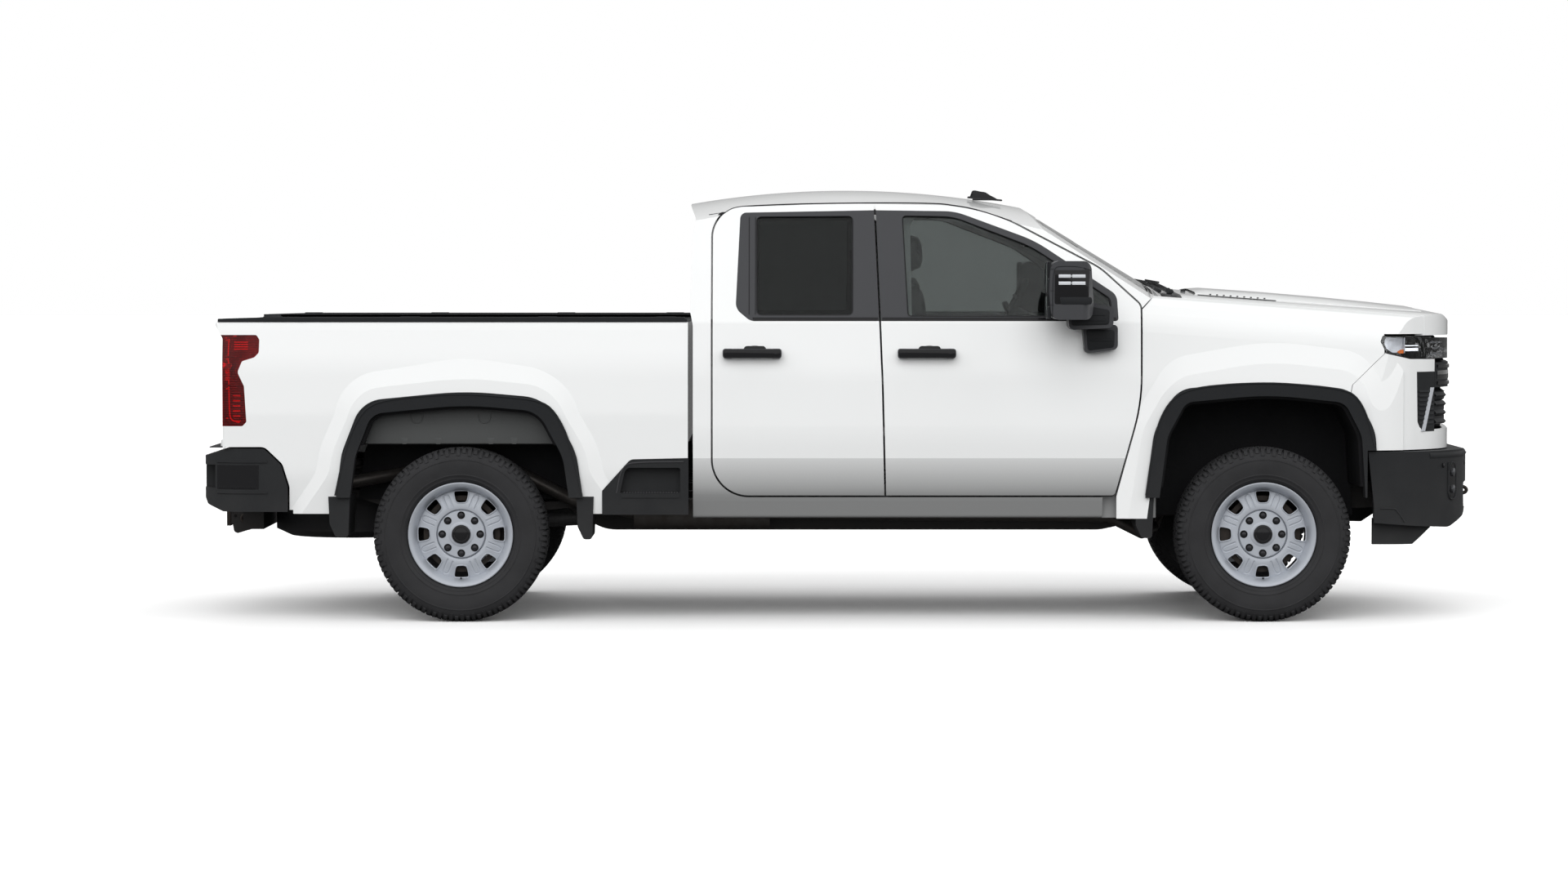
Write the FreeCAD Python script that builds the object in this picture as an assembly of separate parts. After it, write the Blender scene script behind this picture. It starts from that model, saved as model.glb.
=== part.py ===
"""Heavy-duty pickup truck with four doors and a cargo bed, in separate pieces.

Millimetres. X runs forward, Y to the truck's left and Z up. The origin is on the ground under the middle
of the truck's overall box. Side outlines are drawn in X and Z, cross sections in Y and Z, plans in X and Y.
"""
import FreeCAD, Part
import math
import os

V = FreeCAD.Vector

# Overall sizes
overall_length = 6109.0
wheelbase = 3795.0
front_overhang = 1070.0
track = 1747.0
nose_x = overall_length / 2
tail_x = -overall_length / 2
front_axle_x = nose_x - front_overhang
rear_axle_x = front_axle_x - wheelbase
wheel_y = track / 2

# Tyre and wheel
tyre_radius = 412.0
tyre_width = 275.0
tread_width = 224.0
rim_lip_radius = 247.0
rim_seat_radius = 225.0
rim_width = 230.0
rim_flange = 10.0
rim_wall = 8.0
disc_offset = 34.0
hub_plate_radius = 113.5
hand_hole_radius = 178.0
hand_hole_length = 55.0
hand_hole_width = 66.0
hand_hole_inner_width = 46.0
hand_hole_count = 8
lug_circle_radius = 90.0
lug_radius = 13.0
lug_height = 16.0
lug_count = 8
cap_radius = 46.0
cap_height = 26.0
spindle_radius = 40.0
hub_radius = 66.0
fit_gap = 0.3
running_gap = 0.5
axle_z = tyre_radius

# Gaps and skins
shut_gap = 9.0
skin_thickness = 20.0
door_thickness = 110.0
window_frame_thickness = 50.0
door_inner_step = 22.0
glass_thickness = 5.0
glass_depth = 12.0
surround_depth = 3.0
pillar_gap = 14.0
pillar_thickness = 58.0

# Cab
cab_rear_x = -712.0
firewall_x = 1478.0
cowl_x = 1548.0
sill_bottom_z = 490.0
door_bottom_z = 594.0
floor_bottom_z = 600.0
floor_thickness = 40.0
belt_z = 1415.0
side_half_width = 1012.0
belt_half_width = 982.0
roof_half_width = 778.0
roof_side_z = 1985.0
roof_top_z = 2051.0
roof_peak_x = 20.0
roof_arc_radius = 4400.0
roof_crown_drop = 85.0
roof_thickness = 45.0
windshield_top = (914.0, 1942.0)
windshield_foot = (1496.0, 1587.0)
windshield_radius = 6000.0
windshield_wall = 55.0
rear_wall = 60.0
hinge_pillar_half_width = 925.0
cowl_half_width = 862.0

# Doors
door_hinge_y = 1000.0
front_hinge_x = 1310.0
rear_hinge_x = 110.0
door_hinge_heights = (900.0, 1140.0)
front_strap_reach = (1385.0, 1425.0)
rear_strap_reach = (230.0, 245.0)
strap_inner_y = -885.0
strap_half_height = 20.0
door_pin_radius = 4.0

# Bed
cab_bed_gap = 24.0
bed_front_x = cab_rear_x - cab_bed_gap
bed_rear_x = -2931.0
bed_top_z = 1418.0
bed_bottom_z = 512.0
bed_floor_z = 893.0
bed_floor_thickness = 45.0
bed_inner_half_width = 905.0
bed_wall = 40.0
wheel_box_half_gap = 640.0
wheel_box_z = 1078.0
rail_cap_height = 14.0
tailgate_half_width = 786.0
tailgate_thickness = 72.0
tailgate_face_x = -2955.0
tailgate_top_z = 1412.0
tailgate_hinge_depth = 15.0
tailgate_hinge_x = tailgate_face_x + tailgate_hinge_depth
tailgate_hinge_z = 841.0
tailgate_pin_radius = 7.0
tailgate_pin_reach = 50.0
tailgate_gap = 9.0
bumper_step_z = 821.0

# Chassis
rail_front_x = 2760.0
rail_rear_x = -2905.0
rail_inner_y = 350.0
rail_outer_y = 430.0

# Front end
hood_half_width = 866.0
hood_rear_x = 1604.0
hood_thickness = 34.0
hood_hinge_x = 1680.0
hood_hinge_y = 590.0
hood_hinge_z = 1510.0
hinge_pin_radius = 8.0
hinge_ear = 14.0
hood_slope = -0.075
hood_centre_z = 1572.0
fender_skin = 24.0
front_half_width = 1003.0
bumper_half_width = 1015.0
fascia_front_x = 2975.0
bumper_rear_x = 2472.0

# Swelling of the bodywork round the arches
bulge_height = 14.0
bulge_reach = 110.0
bulge_slope = 4.6

# Hitch
hitch_z = 450.0
hitch_rear_x = -3030.0
hitch_socket_size = 64.0
hitch_socket_depth = 215.0
hitch_pin_x = -2985.0
hitch_pin_radius = 8.0

# Steering
kingpin_y = 790.0
steering_arm = 120.0
steering_arm_drop = 49.0
steering_link_radius = 12.0
steering_link_z = axle_z - steering_arm_drop - steering_link_radius - 6.0
knuckle_half_height = 150.0
steering_wheel_x = 860.0
steering_wheel_y = 400.0
steering_wheel_z = 1450.0
steering_wheel_radius = 188.0
steering_tilt = 25.0
steering_hub_back = 24.0


def unit(a, b):
    length = math.hypot(a, b)
    return a / length, b / length


def corner(before, point, after, radius):
    """Start, middle and end of the arc that rounds one corner of an outline."""
    ua, ub = unit(before[0] - point[0], before[1] - point[1])
    wa, wb = unit(after[0] - point[0], after[1] - point[1])
    if math.hypot(ua + wa, ub + wb) < 1e-6:
        return point, None, point
    half = math.acos(max(-1.0, min(1.0, ua * wa + ub * wb))) / 2
    reach = radius / math.tan(half)
    room = 0.49 * min(math.dist(before[:2], point[:2]), math.dist(after[:2], point[:2]))
    reach = min(reach, room)
    radius = reach * math.tan(half)
    ba, bb = unit(ua + wa, ub + wb)
    away = radius / math.sin(half) - radius
    start = (point[0] + ua * reach, point[1] + ub * reach)
    middle = (point[0] + ba * away, point[1] + bb * away)
    end = (point[0] + wa * reach, point[1] + wb * reach)
    return start, middle, end


def place(plane, point):
    a, b = point[0], point[1]
    if plane == "xz":
        return V(a, 0, b)
    if plane == "yz":
        return V(0, a, b)
    return V(a, b, 0)


def outline(plane, points):
    """Closed face through points (a, b) or (a, b, radius) in the plane."""
    count = len(points)
    ends = []
    for index in range(count):
        point = points[index]
        if len(point) == 3 and point[2] > 0:
            ends.append(corner(points[index - 1], point, points[(index + 1) % count], point[2]))
        else:
            ends.append((point, None, point))
    edges = []
    for index in range(count):
        start, middle, end = ends[index]
        if middle is not None:
            edges.append(Part.Arc(place(plane, start), place(plane, middle), place(plane, end)).toShape())
        following = ends[(index + 1) % count][0]
        if math.dist(end[:2], following[:2]) > 1e-6:
            edges.append(Part.LineSegment(place(plane, end), place(plane, following)).toShape())
    return Part.Face(Part.Wire(edges))


def prism(plane, points, low, high):
    """Outline extruded across its plane from low to high."""
    normal = {"xz": V(0, 1, 0), "yz": V(1, 0, 0), "xy": V(0, 0, 1)}[plane]
    face = outline(plane, points)
    face.translate(normal * low)
    return face.extrude(normal * (high - low))


def inset(points, distance):
    """Outline moved inwards by distance, or outwards where it is negative, with its corner radii adjusted."""
    count = len(points)
    area = sum(points[i - 1][0] * points[i][1] - points[i][0] * points[i - 1][1] for i in range(count))
    sign = 1.0 if area > 0 else -1.0
    moved = []
    for index in range(count):
        before, point, after = points[index - 1], points[index], points[(index + 1) % count]
        da, db = unit(point[0] - before[0], point[1] - before[1])
        ea, eb = unit(after[0] - point[0], after[1] - point[1])
        na, nb = -db * sign, da * sign
        ma, mb = -eb * sign, ea * sign
        scale = distance / (1 + na * ma + nb * mb)
        turn = (da * eb - db * ea) * sign
        radius = point[2] if len(point) == 3 else 0.0
        if radius > 0:
            radius = max(radius - distance if turn > 0 else radius + distance, 1.0)
        moved.append((point[0] + (na + ma) * scale, point[1] + (nb + mb) * scale, radius))
    return moved


def mirrored_loop(half):
    """Whole section from its +Y half, listed upwards from the bottom."""
    other = [(-point[0],) + tuple(point[1:]) for point in reversed(half)]
    return half + other


def box(x0, x1, y0, y1, z0, z1):
    return Part.makeBox(x1 - x0, y1 - y0, z1 - z0, V(x0, y0, z0))


def rod(start, end, radius):
    start, end = V(*start), V(*end)
    return Part.makeCylinder(radius, (end - start).Length, start, end - start)


def mirror_y(shape):
    return shape.mirror(V(0, 0, 0), V(0, 1, 0))


def both_sides(shape):
    return [shape, mirror_y(shape)]


def fuse(shapes):
    whole = shapes[0].multiFuse(shapes[1:]) if len(shapes) > 1 else shapes[0]
    return whole.removeSplitter()


def common(shapes):
    result = shapes[0]
    for shape in shapes[1:]:
        result = result.common(shape)
    return result


def cut(shape, *tools):
    for tool in tools:
        shape = shape.cut(tool)
    return shape


def largest(shape):
    return max(shape.Solids, key=lambda solid: solid.Volume)


def save(name, *shapes):
    solids = []
    for shape in shapes:
        solids.extend(shape.Solids)
    for solid in solids:
        if not solid.isValid() or solid.Volume < 1:
            print("bad solid in", name, round(solid.Volume))
    whole = solids[0] if len(solids) == 1 else Part.makeCompound(solids)
    whole.exportStep("parts/%s.step" % name)
    print("%-24s %2d solids %9.1f l" % (name, len(solids), sum(s.Volume for s in solids) / 1e6))


# Outlines seen from the side

front_door_outline = [
    (196, door_bottom_z), (1282, door_bottom_z, 25), (1403, 1037, 900), (1405, 1497, 50),
    (1215, 1672, 300), (653, 1970, 900), (148, 1980), (183, 1120, 6000),
]

rear_door_outline = [
    (196, door_bottom_z), (183, 1120, 6000), (148, 1980),
    (-623, 1964, 150), (-623, door_bottom_z, 175),
]

front_window_outline = [
    (300, 1441, 20), (1268, 1441, 20), (1262, 1528, 40), (890, 1775, 600), (520, 1917, 300), (277, 1921, 20),
]

rear_window_outline = [(-413, 1447, 25), (44, 1447, 25), (47, 1919, 25), (-414, 1916, 25)]

front_surround_outline = [
    (160, 1421), (1296, 1421, 15), (1290, 1545, 60), (905, 1802, 600), (530, 1941, 300), (140, 1946),
]

rear_surround_outline = [(-441, 1421, 60), (195, 1421), (155, 1946), (-489, 1934, 30), (-511, 1479, 60)]

front_arch_outline = [
    (1385, 300), (1462, 900, 220), (1570, 1100, 130), (2000, 1140, 1500), (2400, 1098, 140),
    (2502, 900, 220), (2540, 300),
]

rear_arch_outline = [
    (-2430, 300), (-2365, 800, 250), (-2270, 1045, 150), (-1789, 1092, 1500), (-1400, 1058, 200),
    (-1262, 800, 300), (-1190, 300),
]

flare_width = 64.0


def arch_bulge(arch_outline, skin_y):
    """Block on the left side whose edges slope in from a wide foot under the skin to a narrow top over it."""
    wires = []
    for depth in (-32.0, 26.0):
        wire = outline("xz", inset(arch_outline, bulge_slope * depth - bulge_reach)).OuterWire
        wire.translate(V(0, skin_y + depth, 0))
        wires.append(wire)
    return Part.makeLoft(wires, True, True)


# Cab

def cab_half_section(low, high, ledge=0.0):
    """+Y half of the cab's cross section, inset by low under the ledge at the belt and by high over it."""
    lower = [
        (950 - low, sill_bottom_z, 20), (988 - low, 600, 250), (side_half_width - low, 880, 900),
        (side_half_width - 5 - low, 1180, 900),
    ]
    if low == high:
        belt = [(belt_half_width - low, belt_z, 60)]
    else:
        belt = [(belt_half_width - low, belt_z + ledge), (belt_half_width - high, belt_z + ledge)]
    lean = (belt_half_width - roof_half_width) / (roof_side_z - belt_z)
    bulge = 8.0
    middle_z = (belt_z + roof_side_z) / 2
    top_z = roof_side_z + 160
    upper = [
        (belt_half_width - high - lean * (middle_z - belt_z) + bulge, middle_z, 3000),
        (belt_half_width - high - lean * (top_z - belt_z), top_z),
    ]
    return lower + belt + upper


def cab_body(low, high, x0, x1, ledge=0.0):
    return prism("yz", mirrored_loop(cab_half_section(low, high, ledge)), x0, x1)


def roof_barrel(drop):
    """Everything under the roof's surface, crowned both ways, lowered by drop."""
    radius = roof_arc_radius - drop
    centre_z = roof_top_z - roof_arc_radius
    half = 1150.0
    edge_drop = roof_crown_drop * (half / roof_half_width) ** 2
    top = centre_z + radius
    crown = Part.BezierCurve()
    crown.setPoles([V(0, -half, top - edge_drop), V(0, 0, top + edge_drop), V(0, half, top - edge_drop)])
    low_z = centre_z + 800
    low_right = V(0, -half, low_z)
    low_left = V(0, half, low_z)
    edges = [
        crown.toShape(),
        Part.LineSegment(V(0, half, top - edge_drop), low_left).toShape(),
        Part.LineSegment(low_left, low_right).toShape(),
        Part.LineSegment(low_right, V(0, -half, top - edge_drop)).toShape(),
    ]
    face = Part.Face(Part.Wire(edges))
    face.translate(V(roof_peak_x, 0, 0))
    centre = V(roof_peak_x, 0, centre_z)
    face.rotate(centre, V(0, 1, 0), -50)
    return face.revolve(centre, V(0, 1, 0), 100)


def windshield_direction():
    da, db = unit(windshield_foot[0] - windshield_top[0], windshield_foot[1] - windshield_top[1])
    return V(da, 0, db), V(-db, 0, da)


def windshield_drum(inwards):
    """Everything behind the windshield's curved surface, moved inwards."""
    along, normal = windshield_direction()
    start = V(windshield_top[0], 0, windshield_top[1]) - normal * windshield_radius - along * 6000
    return Part.makeCylinder(windshield_radius - inwards, 14000, start, along)


def windshield_hole(clearance):
    """Prism through the windshield's opening, square to the glass, in from its edge by clearance."""
    along, normal = windshield_direction()
    length = math.dist(windshield_top, windshield_foot)
    half_top = 655.0
    half_foot = 795.0
    across = [
        (35, half_top, 60), (length + 10, half_foot, 60), (length + 10, -half_foot, 60), (35, -half_top, 60),
    ]
    face = outline("xy", inset(across, clearance))
    turn = FreeCAD.Rotation(along, V(0, 1, 0), normal, "XYZ")
    face.Placement = FreeCAD.Placement(V(windshield_top[0], 0, windshield_top[1]) - normal * 260, turn)
    return face.extrude(normal * 400)


def rear_window_prism(clearance, x0, x1):
    hole = [(-640, 1470, 50), (640, 1470, 50), (560, 1870, 50), (-560, 1870, 50)]
    return prism("yz", inset(hole, clearance), x0, x1)


def cab_side_outline():
    return [
        (cab_rear_x, sill_bottom_z), (firewall_x, sill_bottom_z), (firewall_x, 1470), (cowl_x, 1500),
        (cowl_x, 2200), (cab_rear_x - 21, 2200), (cab_rear_x - 21, 1975, 8), (cab_rear_x + 12, 1905, 30),
        (cab_rear_x - 4, 1830, 200), (cab_rear_x - 16, 1480, 200), (cab_rear_x, 1400, 100),
    ]


def cab_outer():
    return common([
        prism("xz", cab_side_outline(), -1200, 1200), cab_body(0, 0, cab_rear_x - 100, cowl_x + 100),
        roof_barrel(0), windshield_drum(0),
    ])


def door_stack(outline_points, low_inner, high_inner):
    """Door blank: the outer skin fills the outline, the inner part steps in all round."""
    x0 = min(point[0] for point in outline_points) - 50
    x1 = max(point[0] for point in outline_points) + 50
    edge = inset(outline_points, shut_gap / 2)
    step = inset(outline_points, shut_gap / 2 + door_inner_step)
    outer = cab_body(0, 0, x0, x1)
    middle = cab_body(skin_thickness, skin_thickness, x0, x1)
    inner = cab_body(low_inner, high_inner, x0, x1)
    skin = prism("xz", edge, -1200, 0).common(outer).cut(middle)
    depth = prism("xz", step, -1200, 0).common(middle.cut(inner))
    return fuse([skin, depth])


def cab_shell():
    outer = cab_outer()
    cavity_low = door_thickness + pillar_gap + pillar_thickness
    cavity_high = window_frame_thickness + pillar_gap + pillar_thickness
    cavity_side = [
        (cab_rear_x + rear_wall, floor_bottom_z + floor_thickness),
        (firewall_x - 50, floor_bottom_z + floor_thickness), (firewall_x - 50, 1440), (cowl_x - 20, 1500),
        (cowl_x - 20, 2200), (cab_rear_x + rear_wall, 2200),
    ]
    cavity = common([
        prism("xz", cavity_side, -1100, 1100),
        cab_body(cavity_low, cavity_high, cab_rear_x, cowl_x, pillar_gap + 40), roof_barrel(roof_thickness),
        windshield_drum(windshield_wall),
    ])
    shell = cut(outer, cavity, windshield_hole(0), rear_window_prism(0, cab_rear_x - 100, cab_rear_x + 100))
    under = box(cab_rear_x - 50, firewall_x + 50, -830, 830, sill_bottom_z - 50, floor_bottom_z)
    shell = shell.cut(under)
    # The doors' room, down to just inboard of their inner faces
    recess_core = cab_body(door_thickness + pillar_gap, window_frame_thickness + pillar_gap, -1000, 1700,
                           pillar_gap)
    sides = []
    for points in (front_door_outline, rear_door_outline):
        room = prism("xz", inset(points, -shut_gap / 2), -1200, 1200).cut(recess_core)
        sides.append(room)
    # The openings that people climb through
    floor_z = floor_bottom_z + floor_thickness
    front_way = [
        (330, floor_z, 40), (1282 + shut_gap, floor_z, 40), (1403 + shut_gap, 1037, 300),
        (1405 + shut_gap, 1450, 40), (1190, 1628, 300), (640, 1915, 300), (318, 1920, 60),
    ]
    rear_way = [
        (-575, floor_z, 150), (194 + shut_gap, floor_z, 20), (184 + shut_gap, 1120, 800),
        (158 + shut_gap, 1920, 60), (-575, 1905, 120),
    ]
    for points in (front_way, rear_way):
        sides.append(prism("xz", points, -1200, 1200))
    shell = cut(shell, *sides)
    # Ahead of the doors the fenders cover the cab, so it is narrower there
    ahead = [
        (1282 - 60, 400), (1282 - 60, door_bottom_z), (1403, 1037), (1405, 1480), (1490, 1570), (1700, 1570),
        (1700, 400),
    ]
    upper = [(1380, 1390), (1380, 1700), (1700, 1700), (1700, 1390)]
    bosses = []
    for side in (-1, 1):
        y0, y1 = sorted((side * hinge_pillar_half_width, side * 1200))
        shell = shell.cut(prism("xz", ahead, y0, y1))
        y0, y1 = sorted((side * cowl_half_width, side * 1200))
        shell = shell.cut(prism("xz", ahead, y0, y1).common(prism("xz", upper, y0, y1)))
        y0, y1 = sorted((side * (hinge_pillar_half_width - 10), side * (front_half_width - fender_skin - 1.2)))
        bosses.append(box(1442, 1472, y0, y1, 1080, 1110))
    straps = []
    for pivot_x, reach in ((front_hinge_x, front_strap_reach), (rear_hinge_x, rear_strap_reach)):
        for z, pillar_x in zip(door_hinge_heights, reach):
            straps.extend(both_sides(door_hinge_strap(pivot_x, pillar_x, z)))
    return fuse([shell] + bosses + hood_hinge_arms() + straps)


def door_hinge_strap(pivot_x, pillar_x, z):
    """Right-hand strap cupped round the door's pin, in through the door's pocket and forward to the pillar."""
    y = -door_hinge_y
    leg = box(pivot_x - 14, pivot_x + 1, y + 2, strap_inner_y + 35, z - strap_half_height, z + strap_half_height)
    forward = box(pivot_x - 14, pillar_x, strap_inner_y, strap_inner_y + 35, z - strap_half_height,
                  z + strap_half_height)
    bore = rod((pivot_x, y, z - 50), (pivot_x, y, z + 50), door_pin_radius + running_gap)
    return fuse([leg, forward]).cut(bore)


def hood_hinge_arms():
    """Arms from the firewall to the hood's hinge pins, bored for them."""
    x, z = hood_hinge_x, hood_hinge_z
    side = [
        (firewall_x - 10, 1360), (firewall_x - 10, 1428), (1600, 1434, 40), (1655, 1475, 40),
        (x - hinge_ear, z + hinge_ear, 12), (x + hinge_ear, z + hinge_ear, 12), (x + hinge_ear, z - 30, 20),
        (1640, 1415, 40), (1560, 1365),
    ]
    bore = rod((x, 0, z), (x, 2 * hood_hinge_y, z), hinge_pin_radius + running_gap)
    return both_sides(prism("xz", side, hood_hinge_y - 10, hood_hinge_y + 10).cut(bore))


def cab_glass():
    front = windshield_drum(4).cut(windshield_drum(4 + glass_thickness))
    front = front.common(windshield_hole(fit_gap))
    x0 = cab_rear_x + 20
    rear = rear_window_prism(fit_gap, x0, x0 + glass_thickness)
    return front, rear


def add_hinge_pins(panel, pivot_x):
    """The panel with its hinge pins, each in a pocket that lets the strap swing."""
    y = -door_hinge_y
    for z in door_hinge_heights:
        room = strap_half_height + 6
        pocket = box(pivot_x - 19, pivot_x + 130, y - 3, strap_inner_y + 5, z - room, z + room)
        pin = rod((pivot_x, y, z - room - 14), (pivot_x, y, z + room + 14), door_pin_radius)
        panel = fuse([panel.cut(pocket), pin])
    return panel


def door(outline_points, window_points, surround_points, pivot_x):
    """One right-hand door: its panel, its glass and the black surround of the window."""
    panel = door_stack(outline_points, door_thickness, window_frame_thickness)
    panel = add_hinge_pins(panel, pivot_x)
    hole = prism("xz", window_points, -1200, 0)
    x0 = min(point[0] for point in outline_points) - 50
    x1 = max(point[0] for point in outline_points) + 50
    surface = cab_body(0, 0, x0, x1)
    under = cab_body(surround_depth, surround_depth, x0, x1)
    near_edge = prism("xz", inset(outline_points, shut_gap / 2), -1200, 0)
    surround = common([prism("xz", surround_points, -1200, 0), near_edge, surface.cut(under)])
    panel = cut(panel, hole, surround)
    surround = surround.cut(hole)
    outer = cab_body(glass_depth, glass_depth, x0, x1)
    inner = cab_body(glass_depth + glass_thickness, glass_depth + glass_thickness, x0, x1)
    glass = prism("xz", inset(window_points, fit_gap), -1200, 0).common(outer.cut(inner))
    return panel, glass, surround


def door_handle(x0, x1):
    """Pull bar on two feet, seated on the door's skin."""
    middle_z = 1268.0
    y = -(side_half_width - 8)
    bar = prism("xz", [
        (x0, middle_z - 20, 12), (x1, middle_z - 20, 12), (x1, middle_z + 24, 12), (x0, middle_z + 24, 12),
    ], y - 42, y - 24)
    feet = []
    for foot_x in (x0 + 26, x1 - 26):
        feet.append(box(foot_x - 20, foot_x + 20, y - 30, y + 14, middle_z - 14, middle_z + 16))
    return fuse([bar] + feet)


def tow_mirror():
    """Tall towing mirror on two arms, at the foot of the front window."""
    head_side = [
        (958, 1432, 40), (1150, 1432, 40), (1158, 1500, 60), (1145, 1704, 45), (953, 1704, 45), (945, 1560, 300),
    ]
    head = prism("xz", head_side, -1335, -1105)
    plan = [(940, -1100), (1165, -1100), (1165, -1230, 60), (1120, -1340, 60), (955, -1340, 30), (940, -1330)]
    head = head.common(prism("xy", plan, 1380, 1760))
    lower_side = [(1050, 1382, 25), (1255, 1392, 25), (1258, 1490, 25), (1150, 1512, 20), (1040, 1500, 20)]
    lower = prism("xz", lower_side, -1185, -1010)
    foot_side = [(1130, 1270, 20), (1285, 1290, 25), (1285, 1405, 20), (1120, 1405, 20)]
    foot = prism("xz", foot_side, -1075, -950)
    return fuse([head, lower, foot])


# Front end

def front_plan(inwards):
    """Plan of the front end, drawn in by inwards."""
    half = [
        (1260, front_half_width - inwards), (2600, front_half_width - inwards, 350),
        (2890 - inwards, 745 - inwards / 2, 600), (fascia_front_x - inwards, 0, 2500),
    ]
    other = [(x, -y) + tuple(rest) for x, y, *rest in reversed(half[:-1])]
    return half + other


def hood_section(inwards):
    """Cross section of hood and fenders at the hood's rear edge."""
    half = [
        (front_half_width - 6 - inwards, 300), (front_half_width - inwards, 1120, 900),
        (front_half_width - 20 - inwards, 1400, 300), (940 - inwards, 1512 - inwards, 60),
        (820, 1543 - inwards, 900), (0, hood_centre_z - inwards, 6000),
    ]
    other = [(-point[0],) + tuple(point[1:]) for point in reversed(half[:-1])]
    return half + other


def hood_side(inwards):
    """Side outline of the front end on its centre line."""
    return [
        (1200, 350), (3150, 350), (3150, 1100), (2990 - inwards, 1200), (2983 - inwards, 1330, 30),
        (2945 - inwards, 1395 - inwards / 2, 60), (2866 - inwards / 2, 1448 - inwards, 120),
        (2735, 1497 - inwards, 400), (2400, 1530 - inwards, 3000), (2000, 1566 - inwards, 3000),
        (1600, 1590 - inwards), (1200, 1600 - inwards),
    ]


def front_block(inwards):
    face = outline("yz", hood_section(inwards))
    start_x = 1200.0
    reach = 2000.0
    face.translate(V(start_x, 0, -hood_slope * (hood_rear_x - start_x)))
    sheared = face.extrude(V(reach, 0, reach * hood_slope))
    return common([
        prism("xy", front_plan(inwards), 300, 1700), sheared, prism("xz", hood_side(inwards), -1100, 1100),
    ])


def painted_front():
    """Body of the front end with the swellings round its arches."""
    room = front_block(-bulge_height)
    bulge = arch_bulge(front_arch_outline, front_half_width).common(room)
    return fuse([front_block(0)] + both_sides(bulge))


headlamp_outline = [
    (2531, 1325, 8), (2558, 1270, 8), (2679, 1243, 20), (2783, 1241), (3050, 1241), (3050, 1336),
    (2799, 1341), (2649, 1350, 20), (2541, 1352, 8),
]
grille_half_width = 800.0
grille_bottom_z = 925.0
grille_top_z = 1345.0
headlamp_inner_y = 600.0
hood_front_z = 1352.0


def hood():
    plan = [
        (hood_rear_x, -hood_half_width), (hood_rear_x, hood_half_width), (3100, hood_half_width),
        (3100, -hood_half_width),
    ]
    skin = front_block(0).cut(front_block(hood_thickness))
    skin = skin.common(prism("xy", plan, hood_front_z, 1700))
    x, y, z = hood_hinge_x, hood_hinge_y, hood_hinge_z
    pocket = box(hood_rear_x - 5, x + 32, y - 20, y + 20, z - 100, z + 20)
    bracket = box(x - 14, x + 14, y - 44, y - 20, z - 14, z + 15)
    pin = rod((x, y - 40, z), (x, y + 16, z), hinge_pin_radius)
    skin = cut(skin, *both_sides(pocket))
    return fuse([skin] + both_sides(fuse([bracket, pin])))


def fenders(arch_opening):
    skin = painted_front().cut(front_block(fender_skin))
    side = [
        (1200, sill_bottom_z), (1282 + shut_gap / 2, sill_bottom_z), (1282 + shut_gap / 2, door_bottom_z),
        (1403 + shut_gap / 2, 1037, 900), (1405 + shut_gap / 2, 1476), (1497, 1569), (1497, 1700), (1200, 1700),
    ]
    ahead = [
        (2376, 300), (2376, 1025), (2395, 1122), (2549, 1268), (2549, 1360), (3200, 1360), (3200, 300),
    ]
    skin = cut(skin, prism("xz", side, -1100, 1100), prism("xz", ahead, -1100, 1100), arch_opening)
    skin = skin.cut(box(1200, 3200, -1100, 1100, 200, sill_bottom_z))
    skin = skin.cut(prism("xz", headlamp_outline, -1100, 1100))
    middle = hood_half_width + 7.0
    skin = skin.cut(box(1200, 3300, -middle, middle, 200, 1800))
    return skin


def fascia(arch_opening):
    skin = painted_front().cut(front_block(fender_skin))
    region = [
        (2376 + 3, 812), (3200, 812), (3200, hood_front_z - 7), (2660, hood_front_z - 7), (2552, 1268),
        (2398, 1122), (2379, 1025),
    ]
    skin = skin.common(prism("xz", region, -1100, 1100))
    lamps = prism("xz", inset(headlamp_outline, -2), -1100, 1100)
    opening = box(2500, 3200, -grille_half_width, grille_half_width, grille_bottom_z - 20, grille_top_z + 40)
    return largest(cut(skin, lamps, opening, arch_opening))


def headlamps():
    block = front_block(1).cut(front_block(70))
    lamp = prism("xz", headlamp_outline, -1100, -headlamp_inner_y).common(block)
    return both_sides(lamp)


def curved_bar(z0, z1, outer_inset, depth):
    """Bar that follows the plan of the front end between z0 and z1."""
    ring = prism("xy", front_plan(outer_inset), z0, z1).cut(prism("xy", front_plan(outer_inset + depth), z0, z1))
    reach = grille_half_width - fit_gap
    return ring.common(box(2600, 3200, -reach, reach, z0, z1))


def grille():
    bars = [curved_bar(z, z + 14, 12, 60) for z in (1262.0, 1304.0)]
    upper = []
    for bar in bars:
        upper.append(bar.common(box(2600, 3200, -headlamp_inner_y + 2, headlamp_inner_y - 2, 1200, 1400)))
    main = curved_bar(1104, 1222, -2, 70)
    lower = [curved_bar(z, z + 26, 14, 60) for z in (940.0, 994.0, 1048.0)]
    back = curved_bar(grille_bottom_z - 16, 1238, 60, 12)
    narrow = headlamp_inner_y - 2
    top_back = curved_bar(1230, hood_front_z - 8, 60, 12).common(box(2600, 3200, -narrow, narrow, 1200, 1400))
    posts = []
    for y in (-500, -250, 0, 250, 500):
        posts.append(curved_bar(grille_bottom_z - 16, 1238, 30, 40).common(box(2600, 3200, y - 8, y + 8, 900, 1300)))
    return fuse([main, back, top_back] + upper + lower + posts)


def bumper_plan(inwards):
    half = [
        (bumper_rear_x, bumper_half_width - inwards), (2680, bumper_half_width - inwards, 320),
        (2950 - inwards, 770 - inwards / 2, 500), (nose_x - inwards, 250, 1500),
    ]
    other = [(x, -y) + tuple(rest) for x, y, *rest in reversed(half)]
    return half + other


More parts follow.
